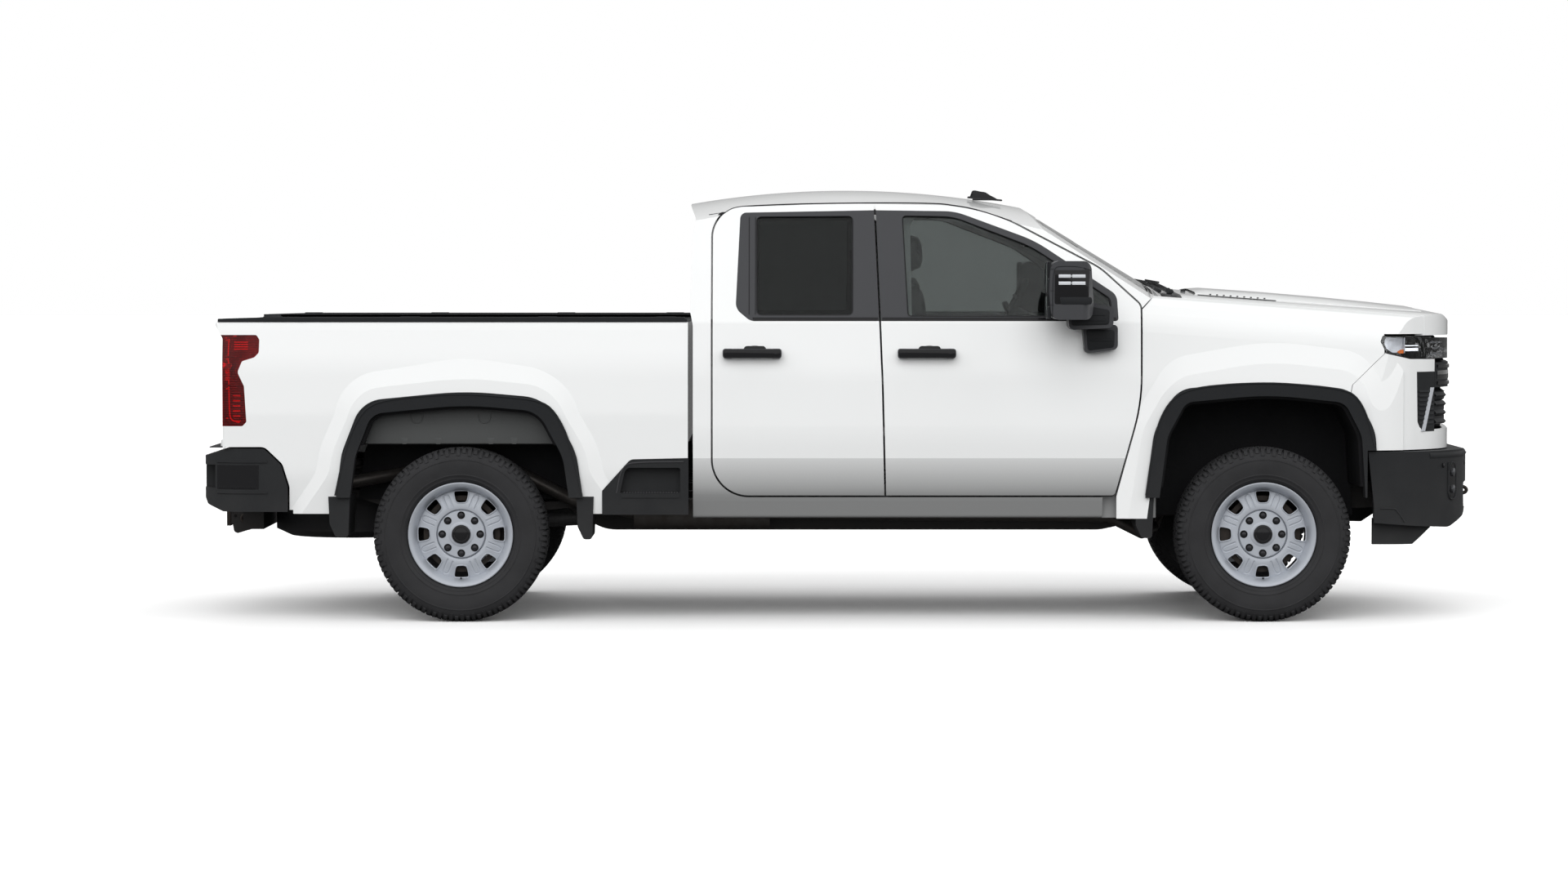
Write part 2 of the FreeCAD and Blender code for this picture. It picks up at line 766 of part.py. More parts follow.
def front_bumper():
    side = [
        (bumper_rear_x, 806), (bumper_rear_x + 28, 548), (bumper_rear_x + 28, 470), (2880, 440, 60),
        (3000, 500, 80), (3060, 640, 60), (3060, 770, 40), (2990, 806, 30),
    ]
    outer = prism("xy", bumper_plan(0), 420, 806).common(prism("xz", side, -1100, 1100))
    inner_side = [
        (bumper_rear_x - 50, 776), (bumper_rear_x - 50, 300), (2840, 300), (2960, 520, 60), (3010, 650, 60),
        (3010, 776, 30),
    ]
    inner = prism("xy", bumper_plan(45), 300, 776).common(prism("xz", inner_side, -1100, 1100))
    shell = outer.cut(inner)
    intake = prism("yz", [(-560, 520, 30), (560, 520, 30), (600, 640, 30), (-600, 640, 30)], 2700, 3200)
    dam = prism("xy", bumper_plan(60), 365, 470).cut(prism("xy", bumper_plan(85), 365, 470))
    dam = dam.common(prism("xz", [(2500, 362), (2690, 362, 20), (2790, 440), (2790, 480), (2500, 480)], -1100, 1100))
    flange = prism("xy", bumper_plan(40), 462, 490).cut(prism("xy", bumper_plan(85), 462, 490))
    flange = flange.common(prism("xz", [(2500, 462), (2790, 455), (2790, 490), (2500, 490)], -1100, 1100))
    brackets = []
    for side_sign in (-1, 1):
        y0, y1 = sorted((side_sign * 355, side_sign * 425))
        brackets.append(box(rail_front_x + fit_gap, rail_front_x + 40, y0, y1, 560, 700))
        brackets.append(box(rail_front_x + fit_gap, 3020, y0, y1, 650, 700))
    return fuse([cut(shell, intake), dam, flange] + brackets)


def cowl_panel():
    """Black panel between the windshield's foot and the hood, with two wipers lying on it."""
    side = [
        (1482, 1412), (1640, 1395), (1640, 1415), (1574, 1440), (1574, 1538), (cowl_x + 3, 1546),
        (cowl_x + 3, 1496), (1482, 1466),
    ]
    panel = prism("xz", side, -840, 840).common(front_block(6))
    half = 10 + fit_gap
    slot = box(firewall_x, 1660, hood_hinge_y - half, hood_hinge_y + half, 1300, 1500)
    panel = cut(panel, *both_sides(slot))
    wipers = []
    for y in (-610.0, 60.0):
        wipers.append(rod((1566, y, 1558), (1515, y + 560, 1600), 9))
        wipers.append(rod((1566, y, 1520), (1566, y, 1562), 13))
    return fuse([panel] + wipers)


# Bed

def bed_section(outwards=0.0):
    """+Y bed side: double wall over the floor, single skin under it. Its outer face moves outwards."""
    return [
        (952, bed_bottom_z), (980 + outwards, bed_bottom_z), (1003 + outwards, 700, 600),
        (1006 + outwards, 980, 900), (998 + outwards, 1220, 900),
        (972, 1380, 200), (964, bed_top_z, 12), (bed_inner_half_width, bed_top_z, 12),
        (bed_inner_half_width, bed_floor_z - bed_floor_thickness), (974, bed_floor_z - bed_floor_thickness),
    ]


def bed_side_outline():
    return [
        (bed_front_x, bed_bottom_z), (bed_front_x, bed_top_z), (bed_rear_x - 30, bed_top_z),
        (bed_rear_x - 38, 1405), (bed_rear_x, 1340, 20), (bed_rear_x, bed_bottom_z),
    ]


rear_bumper_side = [
    (tail_x, 777, 12), (-2925, 812, 20), (-2914, bumper_step_z - 1), (-2735, bumper_step_z - 1, 40),
    (-2655, 743, 50), (-2624, 640, 60), (-2626, 522), (-2931, 522, 20), (-3010, 556, 20), (tail_x, 640, 20),
]
bumper_gap = 8.0


tail_lamp_outline = [
    (-2990, 1356), (-2771, 1356, 15), (-2757, 1334, 15), (-2759, 1272, 20), (-2780, 1250, 15), (-2838, 1232, 15),
    (-2859, 1180, 25), (-2828, 1114, 12), (-2817, 946, 12), (-2836, 926, 12), (-2990, 926),
]
bed_step_outline = [
    (-1141, 508), (-1141, 621, 10), (-1007, 770, 40), (bed_front_x + 3, 776), (bed_front_x + 3, 508),
]
fuel_door_outline = [(-1090, 1090, 12), (-930, 1090, 12), (-930, 1250, 12), (-1090, 1250, 12)]
fuel_door_gap = 8.0
fuel_door_thickness = 8.0
fuel_pocket_y = 950.0
fuel_hinge_x = -957.0
fuel_hinge_y = 987.5
fuel_pin_radius = 2.5
lamp_depth = 62.0


def bed_side(arch_opening):
    """Left bed side with its rear post, before the fuel door's pocket."""
    wall = prism("yz", bed_section(), bed_rear_x - 60, bed_front_x)
    swelling = arch_bulge(rear_arch_outline, 1004).common(
        prism("yz", bed_section(bulge_height), bed_rear_x, bed_front_x))
    wall = fuse([wall, swelling]).common(prism("xz", bed_side_outline(), 800, 1100))
    post = box(bed_rear_x, bed_rear_x + 78, tailgate_half_width + tailgate_gap, bed_inner_half_width + 20,
               bed_floor_z - bed_floor_thickness, bed_top_z)
    lug = box(tailgate_hinge_x - 16, bed_rear_x + 10, tailgate_half_width + tailgate_gap, 860,
              tailgate_hinge_z - 14, tailgate_hinge_z + 14)
    wall = fuse([wall, post])
    plan = [
        (bed_rear_x - 60, 700), (bed_rear_x - 60, 930, 10), (bed_rear_x + 12, 1012, 80), (bed_rear_x + 200, 1025),
        (bed_front_x + 50, 1025), (bed_front_x + 50, 700),
    ]
    wall = wall.common(prism("xy", plan, 400, 1500))
    wall = wall.cut(arch_opening)
    wall = wall.cut(prism("xz", inset(rear_bumper_side, -bumper_gap), 700, 1100))
    wall = wall.cut(box(bed_rear_x - 100, -2600, 700, 1100, 400, 530))
    wall = wall.cut(prism("xz", bed_step_outline, 930, 1100))
    wall = fuse([largest(wall), lug])
    hole_end = tailgate_half_width + tailgate_pin_reach + running_gap
    return wall.cut(rod((tailgate_hinge_x, 0, tailgate_hinge_z), (tailgate_hinge_x, hole_end, tailgate_hinge_z),
                        tailgate_pin_radius + running_gap))


def tail_lamp_block():
    """Corner room of the left tail lamp: the outer layer of the bed side inside the lamp's outline."""
    side = prism("xz", tail_lamp_outline, 955, 1100)
    rear = box(bed_rear_x - 60, bed_rear_x + lamp_depth, 822, 1100, 926, 1356)
    rear = rear.common(prism("xz", tail_lamp_outline, 800, 1100))
    return fuse([side, rear])


def fuel_pocket(outwards):
    return prism("xz", inset(fuel_door_outline, -outwards), fuel_pocket_y, 1100)


def bed_sides(arch_opening):
    left = bed_side(arch_opening)
    lamp_room = tail_lamp_block()
    lamp = left.common(lamp_room)
    left = left.cut(lamp_room)
    right = mirror_y(left)
    lid = bed_side(arch_opening).common(fuel_pocket(0))
    inner = prism("yz", bed_section(), bed_rear_x, bed_front_x).translated(V(0, -fuel_door_thickness, 0))
    lid = lid.cut(inner)
    x, y = fuel_hinge_x, fuel_hinge_y
    pin = rod((x, y, 1070), (x, y, 1190), fuel_pin_radius)
    strap = box(x - 6, x + 6, y - 2, y + 6, 1100, 1190)
    lid = fuse([lid, pin, strap])
    hole = rod((x, y, 1065), (x, y, 1100), fuel_pin_radius + running_gap)
    left = cut(left, fuel_pocket(fuel_door_gap), hole)
    return left, right, both_sides(lamp), lid


def bed_floor():
    """Ribbed floor with the front wall and the two wheel boxes."""
    floor_rear_x = tailgate_face_x + tailgate_hinge_depth + 66.0
    z0 = bed_floor_z - bed_floor_thickness
    reach = bed_inner_half_width - fit_gap
    floor = box(floor_rear_x, bed_front_x, -reach, reach, z0, bed_floor_z - 10)
    ribs = []
    rib_count = 9
    pitch = 2 * 590.0 / (rib_count - 1)
    for index in range(rib_count):
        y = -590.0 + pitch * index
        ribs.append(box(floor_rear_x + 20, bed_front_x - bed_wall, y - 38, y + 38, bed_floor_z - 10, bed_floor_z))
    front = box(bed_front_x - bed_wall, bed_front_x, -reach, reach, z0, bed_top_z - 6)
    boxes = []
    cut_outs = []
    side = [
        (rear_axle_x - 560, z0), (rear_axle_x - 560, 960, 60), (rear_axle_x - 440, wheel_box_z, 140),
        (rear_axle_x + 440, wheel_box_z, 140), (rear_axle_x + 560, 960, 60), (rear_axle_x + 560, z0),
    ]
    hollow = [
        (rear_axle_x - 535, z0 - 5), (rear_axle_x - 535, 940, 50), (rear_axle_x - 425, wheel_box_z - 25, 130),
        (rear_axle_x + 425, wheel_box_z - 25, 130), (rear_axle_x + 535, 940, 50), (rear_axle_x + 535, z0 - 5),
    ]
    for side_sign in (-1, 1):
        y0, y1 = sorted((side_sign * wheel_box_half_gap, side_sign * reach))
        boxes.append(prism("xz", side, y0, y1))
        y0, y1 = sorted((side_sign * (wheel_box_half_gap + 25), side_sign * (reach + 5)))
        cut_outs.append(prism("xz", hollow, y0, y1))
    return fuse([floor, front] + ribs + boxes).cut(Part.makeCompound(cut_outs))


def rail_caps():
    """Black caps on the bed's rails and front wall corners."""
    reach = 968.0
    inner = bed_inner_half_width - 12
    cap = box(bed_rear_x - 24, bed_front_x - 2, inner, reach, bed_top_z, bed_top_z + rail_cap_height)
    return both_sides(cap)


def tailgate():
    x0 = tailgate_face_x
    x1 = x0 + tailgate_thickness
    bottom = tailgate_hinge_z - 9
    side = [
        (x0 + 4, bottom, 6), (x1, bottom, 6), (x1, tailgate_top_z, 12), (x0 - 16, tailgate_top_z, 8),
        (x0 - 16, tailgate_top_z - 34, 14), (x0, tailgate_top_z - 80, 60), (x0 + 2, 1130, 400), (x0 + 4, 960, 200),
    ]
    panel = prism("xz", side, -tailgate_half_width, tailgate_half_width)
    pocket = box(x0 - 30, x0 + 34, -150, 150, 1268, 1340)
    inner = prism("yz", [(-640, 930, 30), (640, 930, 30), (640, 1330, 30), (-640, 1330, 30)], x1 - 14, x1 + 5)
    handle = prism("yz", [(-120, 1282, 12), (120, 1282, 12), (120, 1326, 12), (-120, 1326, 12)], x0 + 6, x0 + 40)
    reach = tailgate_half_width + tailgate_pin_reach
    pin = rod((tailgate_hinge_x, -reach, tailgate_hinge_z), (tailgate_hinge_x, reach, tailgate_hinge_z),
              tailgate_pin_radius)
    return fuse([cut(panel, pocket, inner), handle, pin])


def rear_bumper():
    half = [
        (-2500, 1010), (-2860, 1010, 130), (-3022, 930, 110), (tail_x, 600, 500),
    ]
    plan = half + [(x, -y) + tuple(rest) for x, y, *rest in reversed(half)]
    outer = prism("xz", rear_bumper_side, -1100, 1100).common(prism("xy", plan, 500, 830))
    inner = box(-2975, -2500, -930, 930, 400, bumper_step_z - 30)
    front = box(-2890, -2500, -955, 955, 400, 1000)
    shell = cut(outer, inner, front)
    pockets = []
    for side_sign in (-1, 1):
        y0, y1 = sorted((side_sign * 760, side_sign * 1100))
        pocket = prism("xz", [(-3100, 632), (-2795, 632, 18), (-2775, 742, 18), (-3100, 742)], y0, y1)
        keep = box(-3010, -2500, min(y0, side_sign * 955), max(y0, side_sign * 955), 600, 780)
        pockets.append(pocket.cut(keep))
    plate = box(-3100, -3025, -165, 165, 590, 745)
    brackets = []
    for side_sign in (-1, 1):
        y0, y1 = sorted((side_sign * 360, side_sign * 420))
        brackets.append(box(-2980, rail_rear_x - fit_gap, y0, y1, 640, 725))
    return fuse([cut(shell, plate, *pockets)] + brackets)


def bed_steps():
    """Corner step at the front foot of the bed, ahead of the rear wheel."""
    outer = prism("xz", inset(bed_step_outline, fit_gap), 935, 1008)
    pocket = prism("xz", [(-1056, 612), (-772, 612, 10), (-772, 730, 10), (-1030, 730, 30)], 945, 1100)
    pad = box(-1050, -775, 950, 1012, 588, 608)
    return both_sides(fuse([cut(outer, pocket), pad]))


def flare(arch_outline, band, y_skin, y_out, z_low):
    """Arch moulding: a band round the arch, from the skin outwards, cut off at z_low."""
    outer = prism("xz", inset(arch_outline, -1), y_skin, y_out)
    inner = prism("xz", inset(arch_outline, band), y_skin - 50, y_out + 50)
    ring = outer.cut(inner)
    x_low = min(point[0] for point in arch_outline) - 100
    x_high = max(point[0] for point in arch_outline) + 100
    return ring.cut(box(x_low, x_high, y_skin - 50, y_out + 50, 200, z_low))


def mud_guard(x0, x1, z0, z1):
    return prism("xz", [(x0, z1), (x0 + 6, z0 + 60), (x0 + 34, z0, 15), (x1 - 8, z0, 15), (x1, z1)], 700, 1012)


def arch_mouldings():
    y_skin = 958.0
    y_out = 1036.0
    front = flare(front_arch_outline, flare_width, y_skin, y_out, 590)
    front = front.cut(box(2466, 2700, 800, 1100, 0, 812))
    rear = flare(rear_arch_outline, flare_width, y_skin, y_out, 590)
    front_guard = mud_guard(1372, 1462, 398, 594)
    rear_guard = mud_guard(-2432, -2330, 404, 594)
    ahead_guard = mud_guard(-1262, -1180, 392, 594).common(box(-1300, -1144, 600, 1100, 300, 700))
    front_left = fuse([front, front_guard])
    rear_left = fuse([rear, rear_guard, ahead_guard])
    return both_sides(front_left) + both_sides(rear_left)


def arch_liners():
    """Curved liners over the four wheels, the walls inboard of the wheels and the skirts of the wheel boxes."""
    solids = []
    for arch, y0, low_z in ((front_arch_outline, 512, 640), (rear_arch_outline, 908, 836)):
        outline_points = inset(arch, flare_width + fit_gap)
        outer = prism("xz", outline_points, y0, 990)
        inner = prism("xz", inset(arch, flare_width + 14), y0 - 50, 1040)
        ring = cut(outer, inner, box(-4000, 4000, y0 - 60, 1050, 200, low_z))
        wall = prism("xz", outline_points, y0 - 6, y0 + 1)
        if arch is front_arch_outline:
            arms = box(front_axle_x - 110, front_axle_x + 110, y0 - 60, y0 + 60, 400, 665)
            low = box(-4000, 4000, y0 - 60, y0 + 60, 200, 480)
            wall = cut(wall, arms, low, box(firewall_x - 200, firewall_x + 12, y0 - 60, y0 + 60, 200, 1200))
        else:
            wall = wall.cut(box(-4000, 4000, y0 - 60, y0 + 60, 200, low_z))
            shield = prism("xz", outline_points, 560, 566)
            floor_z = bed_floor_z - bed_floor_thickness
            solids.extend(both_sides(shield.common(box(-4000, 0, 500, 600, 560, floor_z))))
        solids.extend(both_sides(fuse([ring, wall])))
    return solids


# Chassis

def frame_rails():
    """Two box rails that rise over the rear axle and narrow towards the front."""
    side = [
        (rail_rear_x, 620), (rail_rear_x, 745), (-2350, 745, 80), (-1560, 790, 200), (-1150, 590, 200), (1510, 590, 200),
        (1700, 640, 150), (2300, 640, 150), (rail_front_x, 640), (rail_front_x, 520), (2300, 500, 150), (1560, 470, 150),
        (1250, 403, 200), (-1150, 403, 200), (-1560, 640, 150), (-2350, 620, 80),
    ]
    rail = prism("xz", side, rail_inner_y, rail_outer_y)
    return both_sides(rail)


crossmember_width = 110.0


def frame_crossmembers():
    members = []
    for x, z0, z1 in ((-2840, 640, 730), (-2250, 640, 730), (-1250, 520, 600), (-250, 545, 588), (560, 405, 424),
                      (2640, 530, 630)):
        members.append(box(x - crossmember_width / 2, x + crossmember_width / 2, -350, 350, z0, z1))
    # Body mounts under the cab and the bed, and the bumper brackets
    for x, z0, z1 in ((-560, 590, floor_bottom_z), (300, 590, floor_bottom_z), (1150, 590, floor_bottom_z)):
        for y in (-390, 390):
            members.append(rod((x, y, z0), (x, y, z1), 40))
    for x in (-2500, -1000):
        for y in (-390, 390):
            z0 = 745 if x < -1200 else 590
            members.append(rod((x, y, z0), (x, y, bed_floor_z - bed_floor_thickness), 40))
    for y0, y1 in ((290, rail_inner_y), (-rail_inner_y, -290)):
        members.append(box(1900, 1990, y0 + fit_gap, y1 - fit_gap, 600, 690))
    return members


def engine_block():
    return box(1560, 2330, -290, 290, 660, 1330)


def driveline():
    gearbox = prism("xz", [(330, 470, 20), (330, 570, 20), (1300, 588), (1490, 596), (1490, 760), (1560, 760),
                           (1560, 500, 60), (900, 428, 60)], -160, 160)
    bell = box(1500, 1560, -220, 220, 520, 780)
    shaft = rod((340, 0, 515), (rear_axle_x + 198, 0, 430), 45)
    return fuse([gearbox, bell, shaft])


def rear_axle():
    tube = rod((rear_axle_x, -wheel_y + 90, axle_z), (rear_axle_x, wheel_y - 90, axle_z), 52)
    pumpkin = Part.makeSphere(165, V(rear_axle_x, 0, axle_z))
    nose = rod((rear_axle_x, 0, axle_z), (rear_axle_x + 195 - running_gap, 0, axle_z + 16), 70)
    solids = [tube, pumpkin, nose]
    for side in (-1, 1):
        y = side * (wheel_y - 90)
        solids.append(rod((rear_axle_x, y, axle_z), (rear_axle_x, side * (wheel_y - 58), axle_z), 150))
        solids.append(rod((rear_axle_x, y, axle_z), (rear_axle_x, side * (wheel_y + disc_offset + 10), axle_z),
                          spindle_radius))
        solids.append(box(rear_axle_x - 70, rear_axle_x + 70, min(side * 470, side * 545),
                          max(side * 470, side * 545), axle_z, 478))
    return fuse(solids)


def leaf_springs():
    springs = []
    for side in (-1, 1):
        y0, y1 = sorted((side * 470, side * 545))
        leaf = prism("xz", [(-2560, 640), (-2560, 664), (-2200, 560, 300), (-1810, 508, 400), (-1420, 545, 300),
                            (-1120, 560), (-1120, 536), (-1420, 505, 300), (-1700, 478), (-1920, 478),
                            (-2200, 520, 300)], y0, y1)
        hanger_rear = box(-2600, -2540, min(side * 430, side * 545), max(side * 430, side * 545), 630, 700)
        hanger_front = box(-1150, -1090, min(side * 430, side * 545), max(side * 430, side * 545), 500, 588)
        springs.append(fuse([leaf, hanger_rear, hanger_front]))
    return springs


def front_suspension():
    """Upper and lower control arms each side, and the front differential between the rails."""
    solids = []
    top = axle_z + knuckle_half_height + running_gap
    bottom = axle_z - knuckle_half_height - running_gap
    for side in (-1, 1):
        lower = prism("yz", [(side * 830, bottom), (side * 728, bottom), (side * 520, 345), (side * 430, 500),
                             (side * 352, 500), (side * 352, 300), (side * 745, bottom - 24),
                             (side * 830, bottom - 24)], front_axle_x - 60, front_axle_x + 60)
        upper = prism("yz", [(side * 830, top), (side * 830, top + 22), (side * 600, top + 60),
                             (side * 430, top + 60), (side * 430, top + 20), (side * 600, top + 20),
                             (side * 728, top)], front_axle_x - 40, front_axle_x + 40)
        solids.extend([lower, upper])
    differential = box(front_axle_x - 90, front_axle_x + 90, -180, 180, 330, 500)
    member = box(front_axle_x - 60, front_axle_x + 60, -352, 352, 400, 500)
    shafts = rod((front_axle_x, -725, axle_z), (front_axle_x, 725, axle_z), 20)
    link_x = front_axle_x - steering_arm
    housing = rod((link_x, -260, steering_link_z), (link_x, 260, steering_link_z), 26)
    foot = box(link_x, front_axle_x - 80, -120, 120, 335, 365)
    bore = rod((link_x, -300, steering_link_z), (link_x, 300, steering_link_z), steering_link_radius + running_gap)
    core = fuse([solids[0], solids[2], differential, member, shafts, housing, foot]).cut(bore)
    return core, solids[1], solids[3]


def exhaust():
    """Pipe from the engine under the right rail, muffler beside it and tail pipe over the rear axle."""
    y = -625.0
    radius = 30.0
    muffler = prism("yz", [(y - 80, 425, 50), (y + 80, 425, 50), (y + 80, 565, 50), (y - 80, 565, 50)], -1000, -350)
    front = [(1610, -262, 640), (1520, -280, 410), (1440, -600, 400), (1280, y, 480), (-360, y, 495)]
    rear = [(-990, y, 495), (-1300, y, 560), (-1560, y, 690), (-2100, y, 690), (-2500, -820, 625),
            (-2640, -900, 590)]
    hanger = box(-700, -670, y + 75, -430 - fit_gap, 470, 490)
    solids = [muffler, hanger]
    for route in (front, rear):
        for index in range(len(route) - 1):
            solids.append(rod(route[index], route[index + 1], radius))
        for point in route[1:-1]:
            solids.append(Part.makeSphere(radius, V(*point)))
    return fuse(solids)


def fuel_tank():
    tank = prism("yz", [(440, 420, 60), (760, 420, 60), (760, 590, 40), (440, 590, 40)], -900, 250)
    solids = [tank]
    for x in (-760, 80):
        solids.append(box(x, x + 45, rail_outer_y + fit_gap, 460, 470, 540))
    return fuse(solids)


def spare_wheel():
    middle = (-2388.0, 0.0, 485.0)
    profile = [
        (225, -90), (330, -128), (400, -95), (400, 95), (330, 128), (225, 90), (50, 20), (50, -20),
    ]
    face = outline("xz", profile)
    wheel = face.revolve(V(0, 0, 0), V(0, 0, 1), 360)
    wheel.translate(V(*middle))
    hanger = rod((middle[0], 0, middle[2] - 20), (middle[0], 0, 639.7), 58)
    hanger = fuse([hanger, box(middle[0] - 58, -2194, -58, 58, 625, 639.7)])
    return fuse([wheel, hanger])


def hitch_receiver():
    """Cross tube with the square receiver socket, on two brackets from the rails."""
    z = hitch_z
    half = hitch_socket_size / 2
    wall = 10.0
    tube = box(-2900, -2800, -470, 470, z - half - wall, z + half + wall)
    outer = box(hitch_rear_x, -2800, -half - wall, half + wall, z - half - wall, z + half + wall)
    brackets = []
    for side in (-1, 1):
        y0, y1 = sorted((side * (430 + fit_gap), side * 450))
        brackets.append(box(-2900, -2800, y0, y1, z, 740))
        y0, y1 = sorted((side * 70, side * 80))
        plate = prism("xz", [(-3010, z + 20, 20), (-2850, z + 20), (-2850, z - 50), (-2990, z - 90, 20)], y0, y1)
        brackets.append(plate)
    socket = box(hitch_rear_x - 10, hitch_rear_x + hitch_socket_depth, -half, half, z - half, z + half)
    pin = rod((hitch_pin_x, -100, z), (hitch_pin_x, 100, z), hitch_pin_radius)
    return cut(fuse([tube, outer] + brackets), socket, pin)


# Wheels

def tyre():
    """Tyre round the Y axis: bead between the rim's flanges, sidewalls and a slightly crowned tread."""
    seat = rim_seat_radius + fit_gap
    bead = rim_width / 2 - rim_flange - fit_gap
    half = [
        (seat, bead), (rim_lip_radius + 2, bead), (rim_lip_radius + 16, bead + 22), (335, tyre_width / 2),
        (392, tyre_width / 2 - 14), (tyre_radius - 4, tread_width / 2), (tyre_radius, tread_width / 2 - 30),
    ]
    profile = half + [(r, -y) for r, y in reversed(half)]
    face = outline("xy", profile)
    return face.revolve(V(0, 0, 0), V(0, 1, 0), 360)


def rim():
    """Steel wheel, its outer face towards +Y: barrel, dished disc with hand holes, hub plate, nuts and cap."""
    half = rim_width / 2
    seat = rim_seat_radius
    barrel = [
        (seat - rim_wall, -half), (rim_lip_radius, -half), (rim_lip_radius, -half + rim_flange),
        (seat, -half + rim_flange), (seat, half - rim_flange), (rim_lip_radius, half - rim_flange),
        (rim_lip_radius, half), (rim_lip_radius - 7, half), (seat - rim_wall, half - 26),
    ]
    face_y = disc_offset + 12
    dish = [
        (seat - rim_wall + 1, face_y - 24), (seat - rim_wall + 1, face_y - 6), (204, face_y),
        (150, face_y + 16), (hub_plate_radius + 2, face_y + 16), (hub_plate_radius - 6, face_y + 6),
        (0, face_y + 6), (0, disc_offset + 10 + running_gap), (100, disc_offset + 10 + running_gap),
        (140, disc_offset + 4), (200, face_y - 24),
    ]
    solids = []
    for profile in (barrel, dish):
        solids.append(outline("xy", profile).revolve(V(0, 0, 0), V(0, 1, 0), 360))
    cap = Part.makeCylinder(cap_radius, cap_height, V(0, face_y + 6, 0), V(0, 1, 0))
    solids.append(cap)
    for index in range(lug_count):
        angle = math.radians(360.0 / lug_count * index)
        centre = V(lug_circle_radius * math.cos(angle), face_y + 4, lug_circle_radius * math.sin(angle))
        lug = Part.makeCylinder(lug_radius, lug_height, centre, V(0, 1, 0))
        solids.append(lug)
    wheel = fuse(solids)
    hole = prism("xz", [
        (hand_hole_radius - hand_hole_length / 2, -hand_hole_inner_width / 2, 16),
        (hand_hole_radius + hand_hole_length / 2, -hand_hole_width / 2, 18),
        (hand_hole_radius + hand_hole_length / 2, hand_hole_width / 2, 18),
        (hand_hole_radius - hand_hole_length / 2, hand_hole_inner_width / 2, 16),
    ], -20, 120)
    for index in range(hand_hole_count):
        turned = hole.copy()
        turned.rotate(V(0, 0, 0), V(0, 1, 0), 360.0 / hand_hole_count * index)
        wheel = wheel.cut(turned)
    return wheel


def knuckle():
    """Left knuckle: upright on the kingpin, spindle into the wheel and a steering arm to the rear."""
    upright = rod((0, 0, -knuckle_half_height), (0, 0, knuckle_half_height), 50)
    reach = wheel_y - kingpin_y
    hub = rod((0, 0, 0), (0, reach + disc_offset + 10, 0), hub_radius)
    spindle = rod((0, 0, 0), (0, reach + disc_offset + 10, 0), spindle_radius)
    arm_z = -steering_arm_drop
    arm = prism("xy", [(30, -24), (30, 24), (-steering_arm, 22, 10), (-steering_arm - 24, 0, 15),
                       (-steering_arm, -22, 10)], arm_z, arm_z + 25)
    shape = fuse([upright, hub, spindle, arm])
    shape.translate(V(front_axle_x, kingpin_y, axle_z))
    return shape


def steering_link():
    x = front_axle_x - steering_arm
    return rod((x, -kingpin_y, steering_link_z), (x, kingpin_y, steering_link_z), steering_link_radius)


# Cab interior

def dashboard():
    """Dashboard across the cab, with the steering column."""
    side = [
        (1080, 1010, 40), (1060, 1250, 60), (1100, 1420, 60), (1250, 1475, 60), (1424, 1440), (1424, 1100),
        (1250, 960, 80),
    ]
    body = prism("xz", side, -790, 790)
    tilt = math.radians(steering_tilt)
    forward = V(math.cos(tilt), 0, -math.sin(tilt))
    centre = V(steering_wheel_x, steering_wheel_y, steering_wheel_z)
    start = centre + forward * (steering_hub_back + running_gap)
    column = Part.makeCylinder(38, 260, start, forward)
    console = box(700, 1090, -110, 110, 820, 1080)
    foot = box(330, 1090, -110, 110, floor_bottom_z + floor_thickness, 1000)
    return fuse([body, column, console, foot])


def steering_wheel():
    ring = Part.makeTorus(steering_wheel_radius - 15, 15)
    hub = Part.makeCylinder(62, 40, V(0, 0, -steering_hub_back), V(0, 0, 1))
    spokes = []
    for angle in (0, 180, 270):
        spoke = box(40, steering_wheel_radius - 20, -22, 22, -10, 8)
        spoke.rotate(V(0, 0, 0), V(0, 0, 1), angle)
        spokes.append(spoke)
    wheel = fuse([ring, hub] + spokes)
    wheel.rotate(V(0, 0, 0), V(0, 1, 0), -(90.0 - steering_tilt))
    wheel.translate(V(steering_wheel_x, steering_wheel_y, steering_wheel_z))
    return wheel


def seat(y0, y1, cushion_x, back_x, cushion_z, back_z):
    """Seat in one piece: base, cushion, leaning back and head rests."""
    floor = floor_bottom_z + floor_thickness
    side = [
        (back_x + 60, floor), (cushion_x - 120, floor), (cushion_x - 90, cushion_z - 170),
        (cushion_x, cushion_z - 120, 60), (cushion_x, cushion_z, 50), (back_x + 190, cushion_z - 30, 60),
        (back_x + 70, back_z, 50), (back_x - 50, back_z, 40), (back_x, cushion_z - 100),
    ]
    return prism("xz", side, y0, y1)


def head_rest(x, y, z):
    return prism("xz", [(x - 45, z, 20), (x + 55, z, 25), (x + 40, z + 170, 40), (x - 50, z + 170, 35)],
                 y - 140, y + 140)


def seats():
    front_back_x = 330.0
    front = []
    for y in (-400.0, 400.0):
        body = seat(y - 260, y + 260, 850, front_back_x, 1080, 1640)
        post = box(front_back_x - 15, front_back_x + 15, y - 60, y + 60, 1600, 1700)
        front.append(fuse([body, post, head_rest(front_back_x, y, 1650)]))
    rear = seat(-720, 720, -120, -560, 1100, 1610)
    return front, rear


def roof_antenna():
    """Low shark-fin antenna on the roof."""
    side = [(637, 2000), (760, 2000), (700, 2040, 40), (640, 2048, 8)]
    fin = prism("xz", side, -270, -228)
    return fin.cut(roof_barrel(-fit_gap))


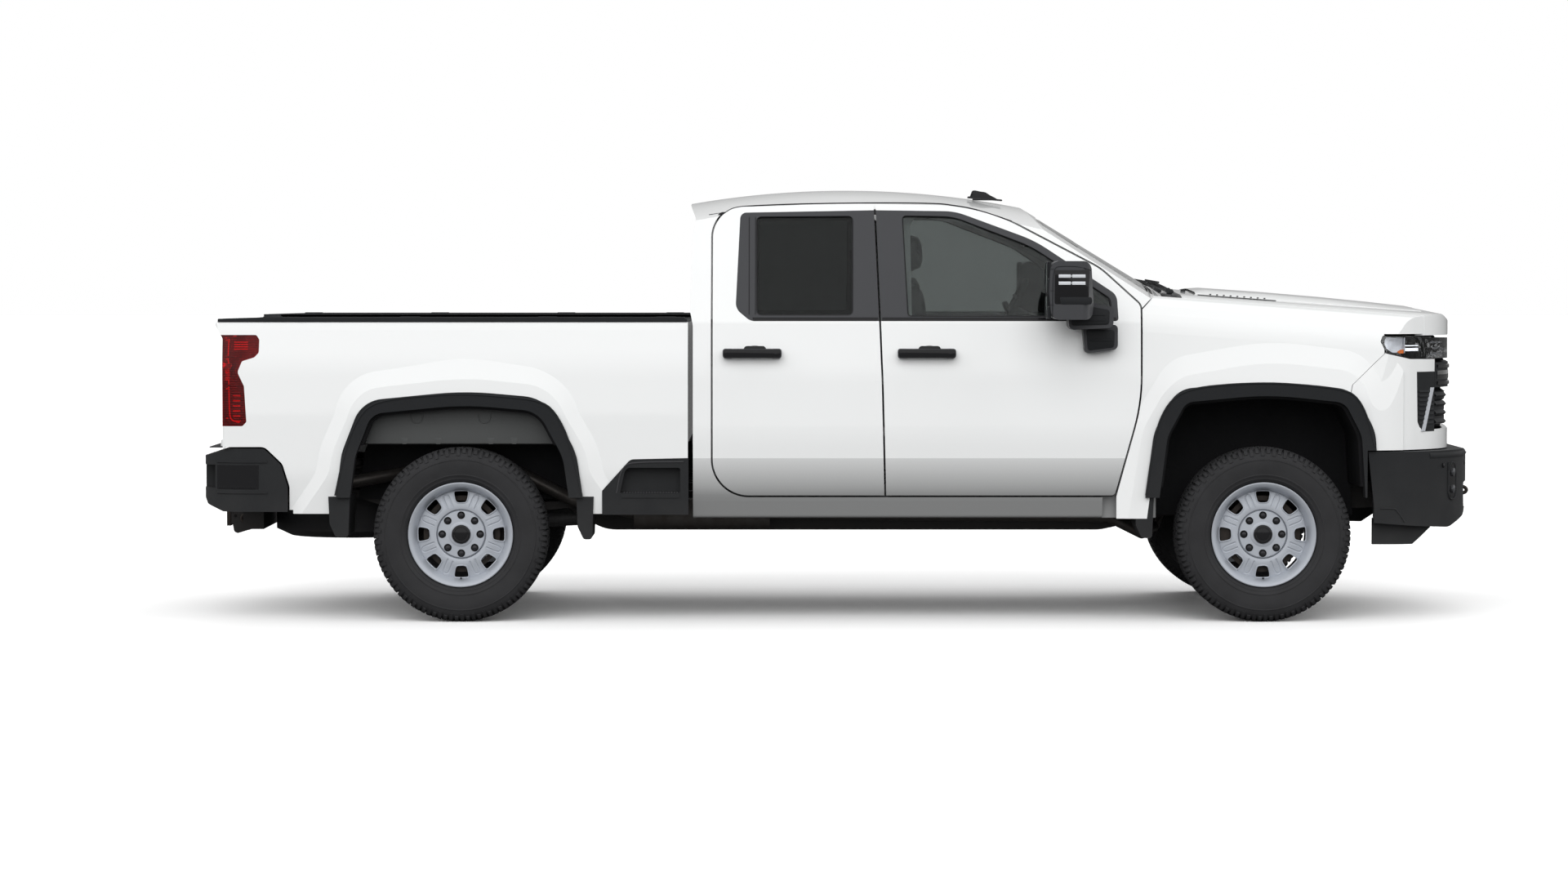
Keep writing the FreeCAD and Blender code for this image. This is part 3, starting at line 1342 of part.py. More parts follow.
def main():
    os.makedirs("parts", exist_ok=True)
    front_opening = prism("xz", inset(front_arch_outline, 20), -1100, 1100)
    rear_opening = prism("xz", inset(rear_arch_outline, 20), 700, 1100)

    cab = cab_shell()
    save("cab_shell", cab)
    save("cab_glass", *cab_glass())
    front_panel, front_pane, front_surround = door(
        front_door_outline, front_window_outline, front_surround_outline, front_hinge_x)
    rear_panel, rear_pane, rear_surround = door(
        rear_door_outline, rear_window_outline, rear_surround_outline, rear_hinge_x)
    mirror = largest(tow_mirror().cut(front_panel))
    front_trim = [front_surround, mirror, largest(door_handle(253, 527).cut(front_panel))]
    rear_trim = [rear_surround, largest(door_handle(-571, -294).cut(rear_panel))]
    for side in ("right", "left"):
        turn = (lambda shape: shape) if side == "right" else mirror_y
        save("door_front_" + side, turn(front_panel))
        save("door_front_%s_glass" % side, turn(front_pane))
        save("door_front_%s_trim" % side, *[turn(shape) for shape in front_trim])
        save("door_rear_" + side, turn(rear_panel))
        save("door_rear_%s_glass" % side, turn(rear_pane))
        save("door_rear_%s_trim" % side, *[turn(shape) for shape in rear_trim])

    save("hood", hood())
    fender_skins = fenders(front_opening)
    fascia_skins = fascia(front_opening)
    save("front_fenders", fender_skins)
    save("front_fascia", fascia_skins)
    save("headlamps", *headlamps())
    save("grille", grille())
    save("front_bumper", front_bumper())
    save("cowl_panel", cowl_panel())

    left, right, lamps, lid = bed_sides(rear_opening)
    save("bed_sides", left, right)
    save("tail_lamps", *lamps)
    save("fuel_door", lid)
    save("bed_floor", largest(bed_floor().cut(left).cut(right)))
    save("tailgate", tailgate())
    save("rear_bumper", rear_bumper())
    mouldings = []
    for moulding in arch_mouldings() + bed_steps():
        mouldings.append(largest(cut(moulding, cab, fender_skins, fascia_skins, left, right)))
    save("body_mouldings", *(mouldings + rail_caps()))
    save("arch_liners", *arch_liners())

    rails = frame_rails()
    save("frame_rails", *rails)
    save("frame_crossmembers", *frame_crossmembers())
    save("engine_block", engine_block())
    save("driveline", driveline())
    save("rear_axle", rear_axle())
    save("leaf_springs", *leaf_springs())
    save("front_suspension", *[largest(cut(shape, *rails)) for shape in front_suspension()])
    save("exhaust", exhaust())
    save("fuel_tank", fuel_tank())
    save("spare_wheel", spare_wheel())
    save("hitch_receiver", hitch_receiver())

    tyre_shape, rim_shape = tyre(), rim()
    places = (("front_left", front_axle_x, 1), ("front_right", front_axle_x, -1),
              ("rear_left", rear_axle_x, 1), ("rear_right", rear_axle_x, -1))
    for name, x, side in places:
        for kind, shape in (("tyre", tyre_shape), ("rim", rim_shape)):
            turned = shape if side > 0 else mirror_y(shape)
            save("%s_%s" % (kind, name), turned.translated(V(x, side * wheel_y, axle_z)))
    save("knuckle_left", knuckle())
    save("knuckle_right", mirror_y(knuckle()))
    save("steering_link", steering_link())

    save("dashboard", dashboard())
    save("steering_wheel", steering_wheel())
    front, rear = seats()
    save("front_seats", *front)
    save("rear_seat", rear)
    save("roof_antenna", roof_antenna())


main()
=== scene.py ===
"""Looks of the pickup truck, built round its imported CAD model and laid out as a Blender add-on."""
import math
from functools import partial

import bmesh
import bpy
from bpy.props import FloatProperty, FloatVectorProperty, IntProperty, PointerProperty
from bpy.types import NodeSocket, Operator, Panel, PropertyGroup
from mathutils import Matrix, Vector
from mathutils.bvhtree import BVHTree


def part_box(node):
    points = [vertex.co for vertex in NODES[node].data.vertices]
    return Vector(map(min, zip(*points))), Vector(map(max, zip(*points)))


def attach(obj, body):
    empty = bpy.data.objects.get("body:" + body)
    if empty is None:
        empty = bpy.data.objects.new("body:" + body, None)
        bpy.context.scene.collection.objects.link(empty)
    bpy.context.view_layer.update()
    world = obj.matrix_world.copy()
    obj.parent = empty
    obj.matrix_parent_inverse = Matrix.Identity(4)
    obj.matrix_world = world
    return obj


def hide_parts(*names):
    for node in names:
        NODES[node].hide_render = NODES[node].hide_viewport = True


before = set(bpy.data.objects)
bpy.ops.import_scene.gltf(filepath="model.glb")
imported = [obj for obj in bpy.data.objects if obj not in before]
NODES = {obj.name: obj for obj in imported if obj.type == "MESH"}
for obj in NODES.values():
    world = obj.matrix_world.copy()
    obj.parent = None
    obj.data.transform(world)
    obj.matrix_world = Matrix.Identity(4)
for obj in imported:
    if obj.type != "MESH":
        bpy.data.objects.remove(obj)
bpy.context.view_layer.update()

bl_info = {
    "name": "Pickup truck looks",
    "version": (1, 0, 0),
    "blender": (4, 5, 0),
    "location": "View3D > Sidebar > Truck",
    "description": "Finishes and fine pieces for the pickup truck",
    "category": "Object",
}

ONE = ("",)
SIDES = ("right", "left")
WHEELS = ("front_left", "front_right", "rear_left", "rear_right")
ORIGIN = (0, 0, 0)
ACROSS, UP, AHEAD, BEHIND, DOWN = (0, 1, 0), (0, 0, 1), (1, 0, 0), (-1, 0, 0), (0, 0, -1)


def colour_property(name, description, default):
    return FloatVectorProperty(name=name, description=description, default=default, subtype="COLOR",
                               size=3, min=0.0, max=1.0)


def length_property(name, description, default):
    return FloatProperty(name=name, description=description, default=default, unit="LENGTH")


def strength_property(name, description, default):
    return FloatProperty(name=name, description=description, default=default)


class FinishSettings(PropertyGroup):
    """Colours of the truck's finishes."""
    paint: colour_property("Paint", "Body paint", (0.80, 0.81, 0.81))
    plastic: colour_property("Plastic", "Textured black plastic", (0.012, 0.013, 0.0145))
    wheel: colour_property("Wheel", "Silver paint of the steel wheels", (0.50, 0.53, 0.58))
    glass: colour_property("Glass", "Tint of the windows", (0.24, 0.26, 0.255))
    seat: colour_property("Seat", "Seat cloth", (0.055, 0.055, 0.06))


class TyreSettings(PropertyGroup):
    """Sizes of the tyre's tread."""
    radius: length_property("Radius", "Outer radius over the tread", 0.412)
    groove: length_property("Groove", "Depth of the tread's grooves", 0.011)
    shoulder_lugs: IntProperty(name="Shoulder lugs", description="Lugs round each shoulder", default=92)
    rib_blocks: IntProperty(name="Rib blocks", description="Blocks round each inner rib", default=64)


class StageSettings(PropertyGroup):
    """Camera and light."""
    distance: length_property("Distance", "Camera's distance from the truck's middle plane", 21.67)
    height: length_property("Height", "Camera's height", 1.69)
    ambient: strength_property("Ambient", "Strength of the all-round light", 0.40)
    reflections: strength_property("Reflections", "Brightness that reflections see", 0.42)
    near_light: strength_property("Near light", "Light from the camera's side", 2.4)
    far_light: strength_property("Far light", "Light from the far side", 1.35)
    end_light: strength_property("End lights", "Light from front and rear", 1.0)


# Meshes

def mm(*values):
    """Vector in metres from millimetres."""
    return Vector(value * 0.001 for value in values)


def new_object(name, bm, merge):
    """Object in the scene from a bmesh in metres, which is freed."""
    bmesh.ops.remove_doubles(bm, verts=bm.verts, dist=merge)
    bmesh.ops.recalc_face_normals(bm, faces=bm.faces)
    mesh = bpy.data.meshes.new(name)
    bm.to_mesh(mesh)
    bm.free()
    made = bpy.data.objects.new(name, mesh)
    bpy.context.scene.collection.objects.link(made)
    return made


def make_piece(name, bm, finish, body, smooth=35.0):
    """Finished piece that rides on a CAD body."""
    piece = new_object(name, bm, 0.00002)
    mesh = piece.data
    mesh.polygons.foreach_set("use_smooth", [True] * len(mesh.polygons))
    mesh.set_sharp_from_angle(angle=math.radians(smooth))
    mesh.materials.append(MATERIALS[finish])
    if body:
        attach(piece, body)
    return piece


def absorb(bm, part):
    """Copy a finished bmesh into another and free it."""
    mesh = bpy.data.meshes.new("part")
    part.to_mesh(mesh)
    part.free()
    bm.from_mesh(mesh)
    bpy.data.meshes.remove(mesh)


def turn(part, degrees, axis="Y"):
    bmesh.ops.rotate(part, cent=ORIGIN, matrix=Matrix.Rotation(math.radians(degrees), 3, axis), verts=part.verts)


def mirror(bm):
    """Turn a right-hand part into a left-hand one."""
    bmesh.ops.scale(bm, vec=(1, -1, 1), verts=bm.verts)
    bmesh.ops.reverse_faces(bm, faces=bm.faces)


def bevel_all(bm, edges, width, segments=2):
    if width > 0:
        bmesh.ops.bevel(bm, geom=list(edges), offset=width * 0.001, offset_type="OFFSET", segments=segments,
                        profile=0.5, affect="EDGES", clamp_overlap=True, material=-1)


def extrude(part, outline):
    """Close an outline of bmesh vertices into a face and extrude it in place; returns the moved vertices."""
    grown = bmesh.ops.extrude_face_region(part, geom=[part.faces.new(outline)])
    return [item for item in grown["geom"] if isinstance(item, bmesh.types.BMVert)]


def add_box(bm, low, high, bevel=0.0, segments=2, tilt=None):
    """Box between two corners in millimetres, its edges rounded and then tilted by degrees about Y."""
    part = bmesh.new()
    bmesh.ops.create_cube(part, size=1.0)
    bmesh.ops.scale(part, vec=mm(*high) - mm(*low), verts=part.verts)
    bevel_all(part, part.edges, bevel, segments)
    if tilt:
        turn(part, tilt)
    bmesh.ops.translate(part, vec=(mm(*low) + mm(*high)) / 2, verts=part.verts)
    absorb(bm, part)


PLANES = {"xz": (AHEAD, UP, ACROSS), "yz": (ACROSS, UP, AHEAD), "xy": (AHEAD, ACROSS, UP)}


def rectangle(a0, b0, a1, b1):
    return [(a0, b0), (a1, b0), (a1, b1), (a0, b1)]


def round_outline(points, radius, steps=5):
    """Outline with its corners rounded, in millimetres."""
    result = []
    for index, corner in enumerate(points):
        point = Vector(corner)
        before = Vector(points[index - 1]) - point
        after = Vector(points[(index + 1) % len(points)]) - point
        reach = min(radius, before.length * 0.45, after.length * 0.45)
        start = point + before.normalized() * reach
        end = point + after.normalized() * reach
        for step in range(steps + 1):
            t = step / steps
            result.append(tuple(start * (1 - t) ** 2 + point * 2 * t * (1 - t) + end * t ** 2))
    return result


def add_prism(bm, plane, points, radius, low, high, bevel=0.0, segments=2):
    """Outline in millimetres with round corners, extruded across its plane from low to high."""
    across, up, normal = (Vector(axis) for axis in PLANES[plane])
    part = bmesh.new()
    outline = round_outline(points, radius) if radius else points
    moved = extrude(part, [part.verts.new((across * a + up * b + normal * low) * 0.001) for a, b in outline])
    bmesh.ops.translate(part, vec=normal * (high - low) * 0.001, verts=moved)
    bmesh.ops.recalc_face_normals(part, faces=part.faces)
    bevel_all(part, part.edges, bevel, segments)
    absorb(bm, part)


def add_spun(bm, profile, steps, centre=ORIGIN, axis=ACROSS):
    """Closed profile of (radius, height) in millimetres, spun round an axis through centre."""
    axis = Vector(axis).normalized()
    side = axis.orthogonal().normalized()
    part = bmesh.new()
    verts = [part.verts.new((side * r + axis * h) * 0.001) for r, h in profile]
    edges = [part.edges.new(ends) for ends in zip(verts, verts[1:] + verts[:1])]
    bmesh.ops.spin(part, geom=verts + edges, cent=ORIGIN, axis=axis, dvec=ORIGIN, angle=2 * math.pi, steps=steps,
                   use_merge=True)
    bmesh.ops.remove_doubles(part, verts=part.verts, dist=0.00001)
    bmesh.ops.recalc_face_normals(part, faces=part.faces)
    bmesh.ops.translate(part, vec=mm(*centre), verts=part.verts)
    absorb(bm, part)


def add_rod(bm, start, end, radius, sides=16, bevel=0.0):
    """Round bar between two points in millimetres."""
    start, end = mm(*start), mm(*end)
    part = bmesh.new()
    bmesh.ops.create_cone(part, cap_ends=True, segments=sides, radius1=radius * 0.001, radius2=radius * 0.001,
                          depth=(end - start).length)
    rims = [edge for edge in part.edges if any(len(face.verts) > 4 for face in edge.link_faces)]
    bevel_all(part, rims, bevel)
    bearing = (end - start).to_track_quat("Z", "Y").to_matrix().to_4x4()
    bmesh.ops.transform(part, matrix=Matrix.Translation((start + end) / 2) @ bearing, verts=part.verts)
    absorb(bm, part)


def add_tube(bm, points, radius, sides=6):
    """Smooth round tube through points in millimetres."""
    curve = bpy.data.curves.new("tube", "CURVE")
    curve.dimensions = "3D"
    curve.bevel_depth = radius * 0.001
    curve.bevel_resolution = max(1, sides // 4)
    curve.use_fill_caps = True
    spline = curve.splines.new("NURBS")
    spline.points.add(len(points) - 1)
    for point, place in zip(spline.points, points):
        point.co = mm(*place).to_4d()
    spline.order_u = 3
    spline.use_endpoint_u = True
    spline.resolution_u = 4
    holder = bpy.data.objects.new("tube", curve)
    mesh = bpy.data.meshes.new_from_object(holder)
    bm.from_mesh(mesh)
    bpy.data.objects.remove(holder)
    bpy.data.curves.remove(curve)
    bpy.data.meshes.remove(mesh)


def add_ribbon(bm, rows, thickness):
    """Strip skinned over rows of points in millimetres and thickened along its normals."""
    part = bmesh.new()
    edges = []
    for row in rows:
        verts = [part.verts.new(mm(*point)) for point in row]
        edges.append([part.edges.new(ends) for ends in zip(verts, verts[1:])])
    for first, second in zip(edges, edges[1:]):
        bmesh.ops.bridge_loops(part, edges=first + second)
    bmesh.ops.recalc_face_normals(part, faces=part.faces)
    bmesh.ops.solidify(part, geom=part.faces, thickness=thickness * 0.001)
    bmesh.ops.recalc_face_normals(part, faces=part.faces)
    absorb(bm, part)


def evaluated_mesh(holder):
    bpy.context.view_layer.update()
    return bpy.data.meshes.new_from_object(holder.evaluated_get(bpy.context.evaluated_depsgraph_get()))


def bmesh_of(mesh):
    """bmesh from a mesh, which is removed."""
    result = bmesh.new()
    result.from_mesh(mesh)
    bpy.data.meshes.remove(mesh)
    return result


def carve(base, cutters):
    """The base bmesh with each cutter bmesh taken away."""
    holder = new_object("carved", base, 0.00001)
    tools = [new_object("cutter", cutter, 0.00001) for cutter in cutters]
    for tool in tools:
        modifier = holder.modifiers.new("cut", "BOOLEAN")
        modifier.operation = "DIFFERENCE"
        modifier.solver = "EXACT"
        modifier.object = tool
    result = bmesh_of(evaluated_mesh(holder))
    for item in tools + [holder]:
        old = item.data
        bpy.data.objects.remove(item)
        bpy.data.meshes.remove(old)
    return result


# Surfaces of the CAD model

TREES = {}
DOOR_SKIN = "door_front_right door_rear_right cab_shell"


def on_skin(names, start, direction, lift=0.0):
    """Point in millimetres where a ray first meets the named nodes, lifted back towards its start."""
    if names not in TREES:
        bm = bmesh.new()
        for name in names.split():
            bm.from_mesh(NODES[name].data)
        TREES[names] = BVHTree.FromBMesh(bm)
        bm.free()
    found = TREES[names].ray_cast(mm(*start), Vector(direction))
    if found[0] is None:
        raise RuntimeError("no surface of %s from %s" % (names, start))
    return tuple(found[0] * 1000 - Vector(direction) * lift)


def side_point(names, x, z, lift=0.0):
    return on_skin(names, (x, -1600, z), ACROSS, lift)


def front_point(names, y, z, lift=0.0):
    return on_skin(names, (3500, y, z), BEHIND, lift)


def rear_point(names, y, z, lift=0.0):
    return on_skin(names, (-3500, y, z), AHEAD, lift)


def top_point(names, x, y, lift=0.0):
    return on_skin(names, (x, y, 2300), DOWN, lift)


def spread(start, end, count):
    return [start + (end - start) * index / (count - 1) for index in range(count)]


def add_strip(bm, probe, names, ends, count, levels, thickness):
    """Ribbon over the skin. Each of its rows has a height, a lift and, where they differ, its own ends."""
    add_ribbon(bm, [[probe(names, place, z, lift) for place in spread(*(own or ends), count)]
                    for z, lift, *own in levels], thickness)


def add_skin_tube(bm, probe, names, places, lift, radius, sides=6):
    add_tube(bm, [probe(names, place, z, lift) for place, z in places], radius, sides)


# Pieces

def piece(step, finish, body="body", smooth=35.0, name=None, args=(), replaced=None, places=ONE):
    """Decorator that adds a builder's piece to a step. Its name is the builder's unless it is given."""
    def keep(build):
        step.append((name or build.__name__, build, args, finish, body, smooth, replaced, places))
        return build
    return keep


pair = partial(piece, places=SIDES)
on_wheels = partial(piece, places=WHEELS, body="wheel_%s")


def at_place(text, place):
    return text % place if "%s" in text else text


def build_pieces(step):
    """Make the pieces of a step: as they are, for both sides of the truck or at all four wheels."""
    for name, build, args, finish, body, smooth, replaced, places in step:
        source = bmesh.new()
        build(source, *args)
        for place in places:
            bm = source.copy()
            if place == "left":
                mirror(bm)
            elif place in WHEELS:
                to_wheel(bm, place)
            made = make_piece("_".join(filter(None, (name, place))), bm, finish, at_place(body, place), smooth)
            if replaced:
                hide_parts(at_place(replaced, place))
        source.free()


class Step:
    """Operator that makes the pieces of one list."""

    def execute(self, context):
        build_pieces(self.pieces)
        return {"FINISHED"}


# Materials

MATERIALS = {}


def add_node(tree, kind, inputs=None, **attributes):
    """New shader node. Each input takes a value, or a link where a socket is given."""
    node = tree.nodes.new("ShaderNode" + kind)
    for label, value in attributes.items():
        setattr(node, label, value)
    for label, value in (inputs or {}).items():
        if isinstance(value, NodeSocket):
            tree.links.new(value, node.inputs[label])
        else:
            node.inputs[label].default_value = value
    return node


def grain_nodes(tree, source):
    """Fine moulded grain: a height from fine cells and a mask from soft noise."""
    cells = add_node(tree, "TexVoronoi", {"Vector": source["Vector"], "Scale": source["Scale"]})
    noise = add_node(tree, "TexNoise", {"Vector": source["Vector"], "Scale": 9.0, "Detail": 5.0})
    return {"Height": cells.outputs["Distance"], "Mask": noise.outputs["Fac"]}


def film_nodes(tree, source):
    """Road film: a mask that grows towards the ground, broken up by noise."""
    split = add_node(tree, "SeparateXYZ", {"Vector": source["Vector"]})
    fall = add_node(tree, "MapRange", {"Value": split.outputs["Z"], "From Min": 0.0, "From Max": source["Top"],
                                       "To Min": 1.0, "To Max": 0.0})
    noise = add_node(tree, "TexNoise", {"Vector": source["Vector"], "Scale": 6.0, "Detail": 7.0})
    broken = add_node(tree, "Math", {0: fall.outputs["Result"], 1: noise.outputs["Fac"]}, operation="MULTIPLY")
    amount = add_node(tree, "Math", {0: broken.outputs["Value"], 1: source["Amount"]}, operation="MULTIPLY")
    return {"Mask": amount.outputs["Value"]}


def weave_nodes(tree, source):
    """Woven cloth: crossing threads as a height, and a mask from noise."""
    threads = [add_node(tree, "TexWave", {"Vector": source["Vector"], "Scale": source["Scale"], "Distortion": 0.4},
                        bands_direction=direction).outputs["Fac"] for direction in "YZ"]
    joined = add_node(tree, "Math", dict(enumerate(threads)), operation="MAXIMUM")
    noise = add_node(tree, "TexNoise", {"Vector": source["Vector"], "Scale": 60.0})
    return {"Height": joined.outputs["Value"], "Mask": noise.outputs["Fac"]}


def crease_nodes(tree, source):
    """Painted shade on the doors' inward-turned foot: a darkening mask that starts at a set height and fades in
    downwards.
    """
    z = add_node(tree, "SeparateXYZ", {"Vector": source["Vector"]}).outputs["Z"]
    slope = add_node(tree, "MapRange", {"Value": z, "From Min": source["Crease"], "From Max": source["Foot"]})
    below = add_node(tree, "Math", {0: z, 1: source["Crease"]}, operation="LESS_THAN")
    half = add_node(tree, "Math", {0: slope.outputs["Result"], 1: 0.65, 2: 0.35}, operation="MULTIPLY_ADD")
    both = add_node(tree, "Math", {0: half.outputs["Value"], 1: below.outputs["Value"]}, operation="MULTIPLY")
    return {"Mask": both.outputs["Value"], "Height": slope.outputs["Result"]}


GROUPS = {
    "Moulded grain": (grain_nodes, {"Scale": 600.0}),
    "Road film": (film_nodes, {"Top": 0.9, "Amount": 0.3}),
    "Woven cloth": (weave_nodes, {"Scale": 220.0}),
    "Painted door shade": (crease_nodes, {"Crease": 0.775, "Foot": 0.60}),
}


def node_group(name):
    """Node group of masks and heights in a given place, built on first use."""
    if name in bpy.data.node_groups:
        return bpy.data.node_groups[name]
    fill, values = GROUPS[name]
    tree = bpy.data.node_groups.new(name, "ShaderNodeTree")
    tree.interface.new_socket(name="Vector", in_out="INPUT", socket_type="NodeSocketVector")
    for label, value in values.items():
        socket = tree.interface.new_socket(name=label, in_out="INPUT", socket_type="NodeSocketFloat")
        socket.default_value = value
    source, sink = tree.nodes.new("NodeGroupInput"), tree.nodes.new("NodeGroupOutput")
    for label, output in fill(tree, source.outputs).items():
        tree.interface.new_socket(name=label, in_out="OUTPUT", socket_type="NodeSocketFloat")
        tree.links.new(output, sink.inputs[label])
    return tree


def scaled(colour, factor):
    return tuple(min(1.0, channel * factor) for channel in colour)


class Finish:
    """Material with a Principled shader, patterned in Object coordinates."""

    def __init__(self, name, colour, roughness, metallic=0.0, inputs=None):
        self.colour = tuple(colour)
        self.roughness = roughness
        self.material = bpy.data.materials.new(name)
        self.material.use_nodes = True
        self.tree = self.material.node_tree
        self.shader = self.tree.nodes["Principled BSDF"].inputs
        self.place = add_node(self.tree, "TexCoord").outputs["Object"]
        settings = {"Base Color": (*colour, 1.0), "Roughness": roughness, "Metallic": metallic}
        for label, value in {**settings, **(inputs or {})}.items():
            self.shader[label].default_value = value

    def pattern(self, kind, **inputs):
        """Outputs of a texture node."""
        attributes = {"bands_direction": "Z"} if kind == "TexWave" else {}
        return add_node(self.tree, kind, {"Vector": self.place, **inputs}, **attributes).outputs

    def group(self, name, **inputs):
        return add_node(self.tree, "Group", {"Vector": self.place, **inputs}, node_tree=node_group(name)).outputs

    def mix(self, mask, colour, other):
        """Base colour that goes from one to the other with the mask; the first may be a socket."""
        first = colour if isinstance(colour, NodeSocket) else (*colour, 1.0)
        node = add_node(self.tree, "Mix", data_type="RGBA")
        self.tree.links.new(mask, node.inputs["Factor"])
        if isinstance(first, NodeSocket):
            self.tree.links.new(first, node.inputs["A"])
        else:
            node.inputs["A"].default_value = first
        node.inputs["B"].default_value = (*other, 1.0)
        self.tree.links.new(node.outputs["Result"], self.shader["Base Color"])
        return node.outputs["Result"]

    def vary_roughness(self, mask, less=0.08, more=0.10):
        node = add_node(self.tree, "MapRange", {"Value": mask, "To Min": self.roughness - less,
                                                "To Max": self.roughness + more})
        self.tree.links.new(node.outputs["Result"], self.shader["Roughness"])

    def bump(self, height, strength, distance):
        node = add_node(self.tree, "Bump", {"Height": height, "Strength": strength, "Distance": distance})
        self.tree.links.new(node.outputs["Normal"], self.shader["Normal"])


def chosen(name):
    return getattr(bpy.context.scene.truck_finish, name)


def paint(name="body_paint", crease=False):
    finish = Finish(name, chosen("paint"), 0.32, inputs={"Coat Weight": 1.0, "Coat Roughness": 0.025})
    film = finish.group("Road film", Top=0.75, Amount=0.10)
    filmed = finish.mix(film["Mask"], finish.colour, (0.46, 0.44, 0.41))
    if crease:
        # Painted shade: below a set height the colour darkens towards a third of the paint's, standing in for shade
        # on the doors and the cab's lower sides.
        finish.mix(finish.group("Painted door shade")["Mask"], filmed, scaled(finish.colour, 0.32))
    peel = finish.pattern("TexNoise", Scale=260.0)["Fac"]
    finish.vary_roughness(peel, 0.04, 0.04)
    finish.bump(peel, 0.03, 0.0004)
    return finish.material


def plastic(name="black_plastic", colour=None, roughness=0.55, scale=650.0, dust=0.30):
    finish = Finish(name, colour or chosen("plastic"), roughness)
    grain = finish.group("Moulded grain", Scale=scale)
    finish.mix(finish.group("Road film", Top=1.0, Amount=dust)["Mask"], finish.colour, (0.11, 0.105, 0.10))
    finish.vary_roughness(grain["Mask"])
    finish.bump(grain["Height"], 0.35, 0.0006)
    return finish.material


def gloss_black():
    finish = Finish("gloss_black", (0.008, 0.008, 0.009), 0.08, inputs={"Coat Weight": 0.6})
    finish.vary_roughness(finish.pattern("TexNoise", Scale=30.0)["Fac"], 0.03, 0.06)
    return finish.material


def satin(name, colour, roughness, metallic=1.0, scale=90.0, other=None):
    """Metal, or satin paint with a low metallic value, mottled by noise."""
    finish = Finish(name, colour, roughness, metallic)
    noise = finish.pattern("TexNoise", Scale=scale, Detail=6.0)["Fac"]
    finish.mix(noise, colour, other or scaled(colour, 0.8))
    finish.vary_roughness(noise)
    finish.bump(noise, 0.08, 0.0005)
    return finish.material


def wheel_paint():
    finish = Finish("wheel_paint", chosen("wheel"), 0.42, 0.35, {"Coat Weight": 0.35, "Coat Roughness": 0.2})
    flake = finish.pattern("TexVoronoi", Scale=1400.0)["Distance"]
    film = finish.group("Road film", Top=0.8, Amount=0.25)
    finish.mix(film["Mask"], finish.colour, scaled(finish.colour, 0.55))
    finish.vary_roughness(flake, 0.04, 0.08)
    finish.bump(flake, 0.05, 0.0003)
    return finish.material


def rubber(name="tyre_rubber", colour=(0.016, 0.016, 0.017), roughness=0.72):
    finish = Finish(name, colour, roughness)
    grain = finish.group("Moulded grain", Scale=900.0)
    finish.mix(grain["Mask"], colour, scaled(colour, 2.1))
    finish.vary_roughness(grain["Mask"], 0.14)
    finish.bump(grain["Height"], 0.25, 0.0005)
    return finish.material


def glass(name, colour):
    finish = Finish(name, colour, 0.0, inputs={"Transmission Weight": 1.0, "IOR": 1.45})
    finish.vary_roughness(finish.pattern("TexNoise", Scale=3.0)["Fac"], 0.0, 0.02)
    return finish.material


def lamp_red():
    finish = Finish("lamp_red", (0.45, 0.004, 0.006), 0.06,
                    inputs={"Transmission Weight": 0.93, "Specular IOR Level": 0.2})
    wave = finish.pattern("TexWave", Scale=28.0)["Fac"]
    finish.mix(wave, finish.colour, (0.32, 0.002, 0.004))
    finish.bump(wave, 0.2, 0.001)
    return finish.material


def glowing(name, colour, strength):
    finish = Finish(name, colour, 0.25, inputs={"Emission Color": (*colour, 1.0), "Emission Strength": strength})
    finish.mix(finish.pattern("TexWave", Scale=60.0)["Fac"], colour, scaled(colour, 0.7))
    return finish.material


def cloth():
    finish = Finish("seat_fabric", chosen("seat"), 0.9, inputs={"Sheen Weight": 0.4})
    weave = finish.group("Woven cloth", Scale=220.0)
    finish.mix(weave["Mask"], scaled(finish.colour, 0.8), scaled(finish.colour, 1.7))
    finish.bump(weave["Height"], 0.4, 0.0008)
    return finish.material


def studio_floor():
    """Plain floor, pale to the camera and darker in what it throws back onto the truck."""
    finish = Finish("studio_floor", (0.97, 0.97, 0.97), 0.7, inputs={"Specular IOR Level": 0.0})
    rays = add_node(finish.tree, "LightPath").outputs
    finish.mix(rays["Is Camera Ray"], (0.10, 0.10, 0.10), (1.0, 1.0, 1.0))
    return finish.material


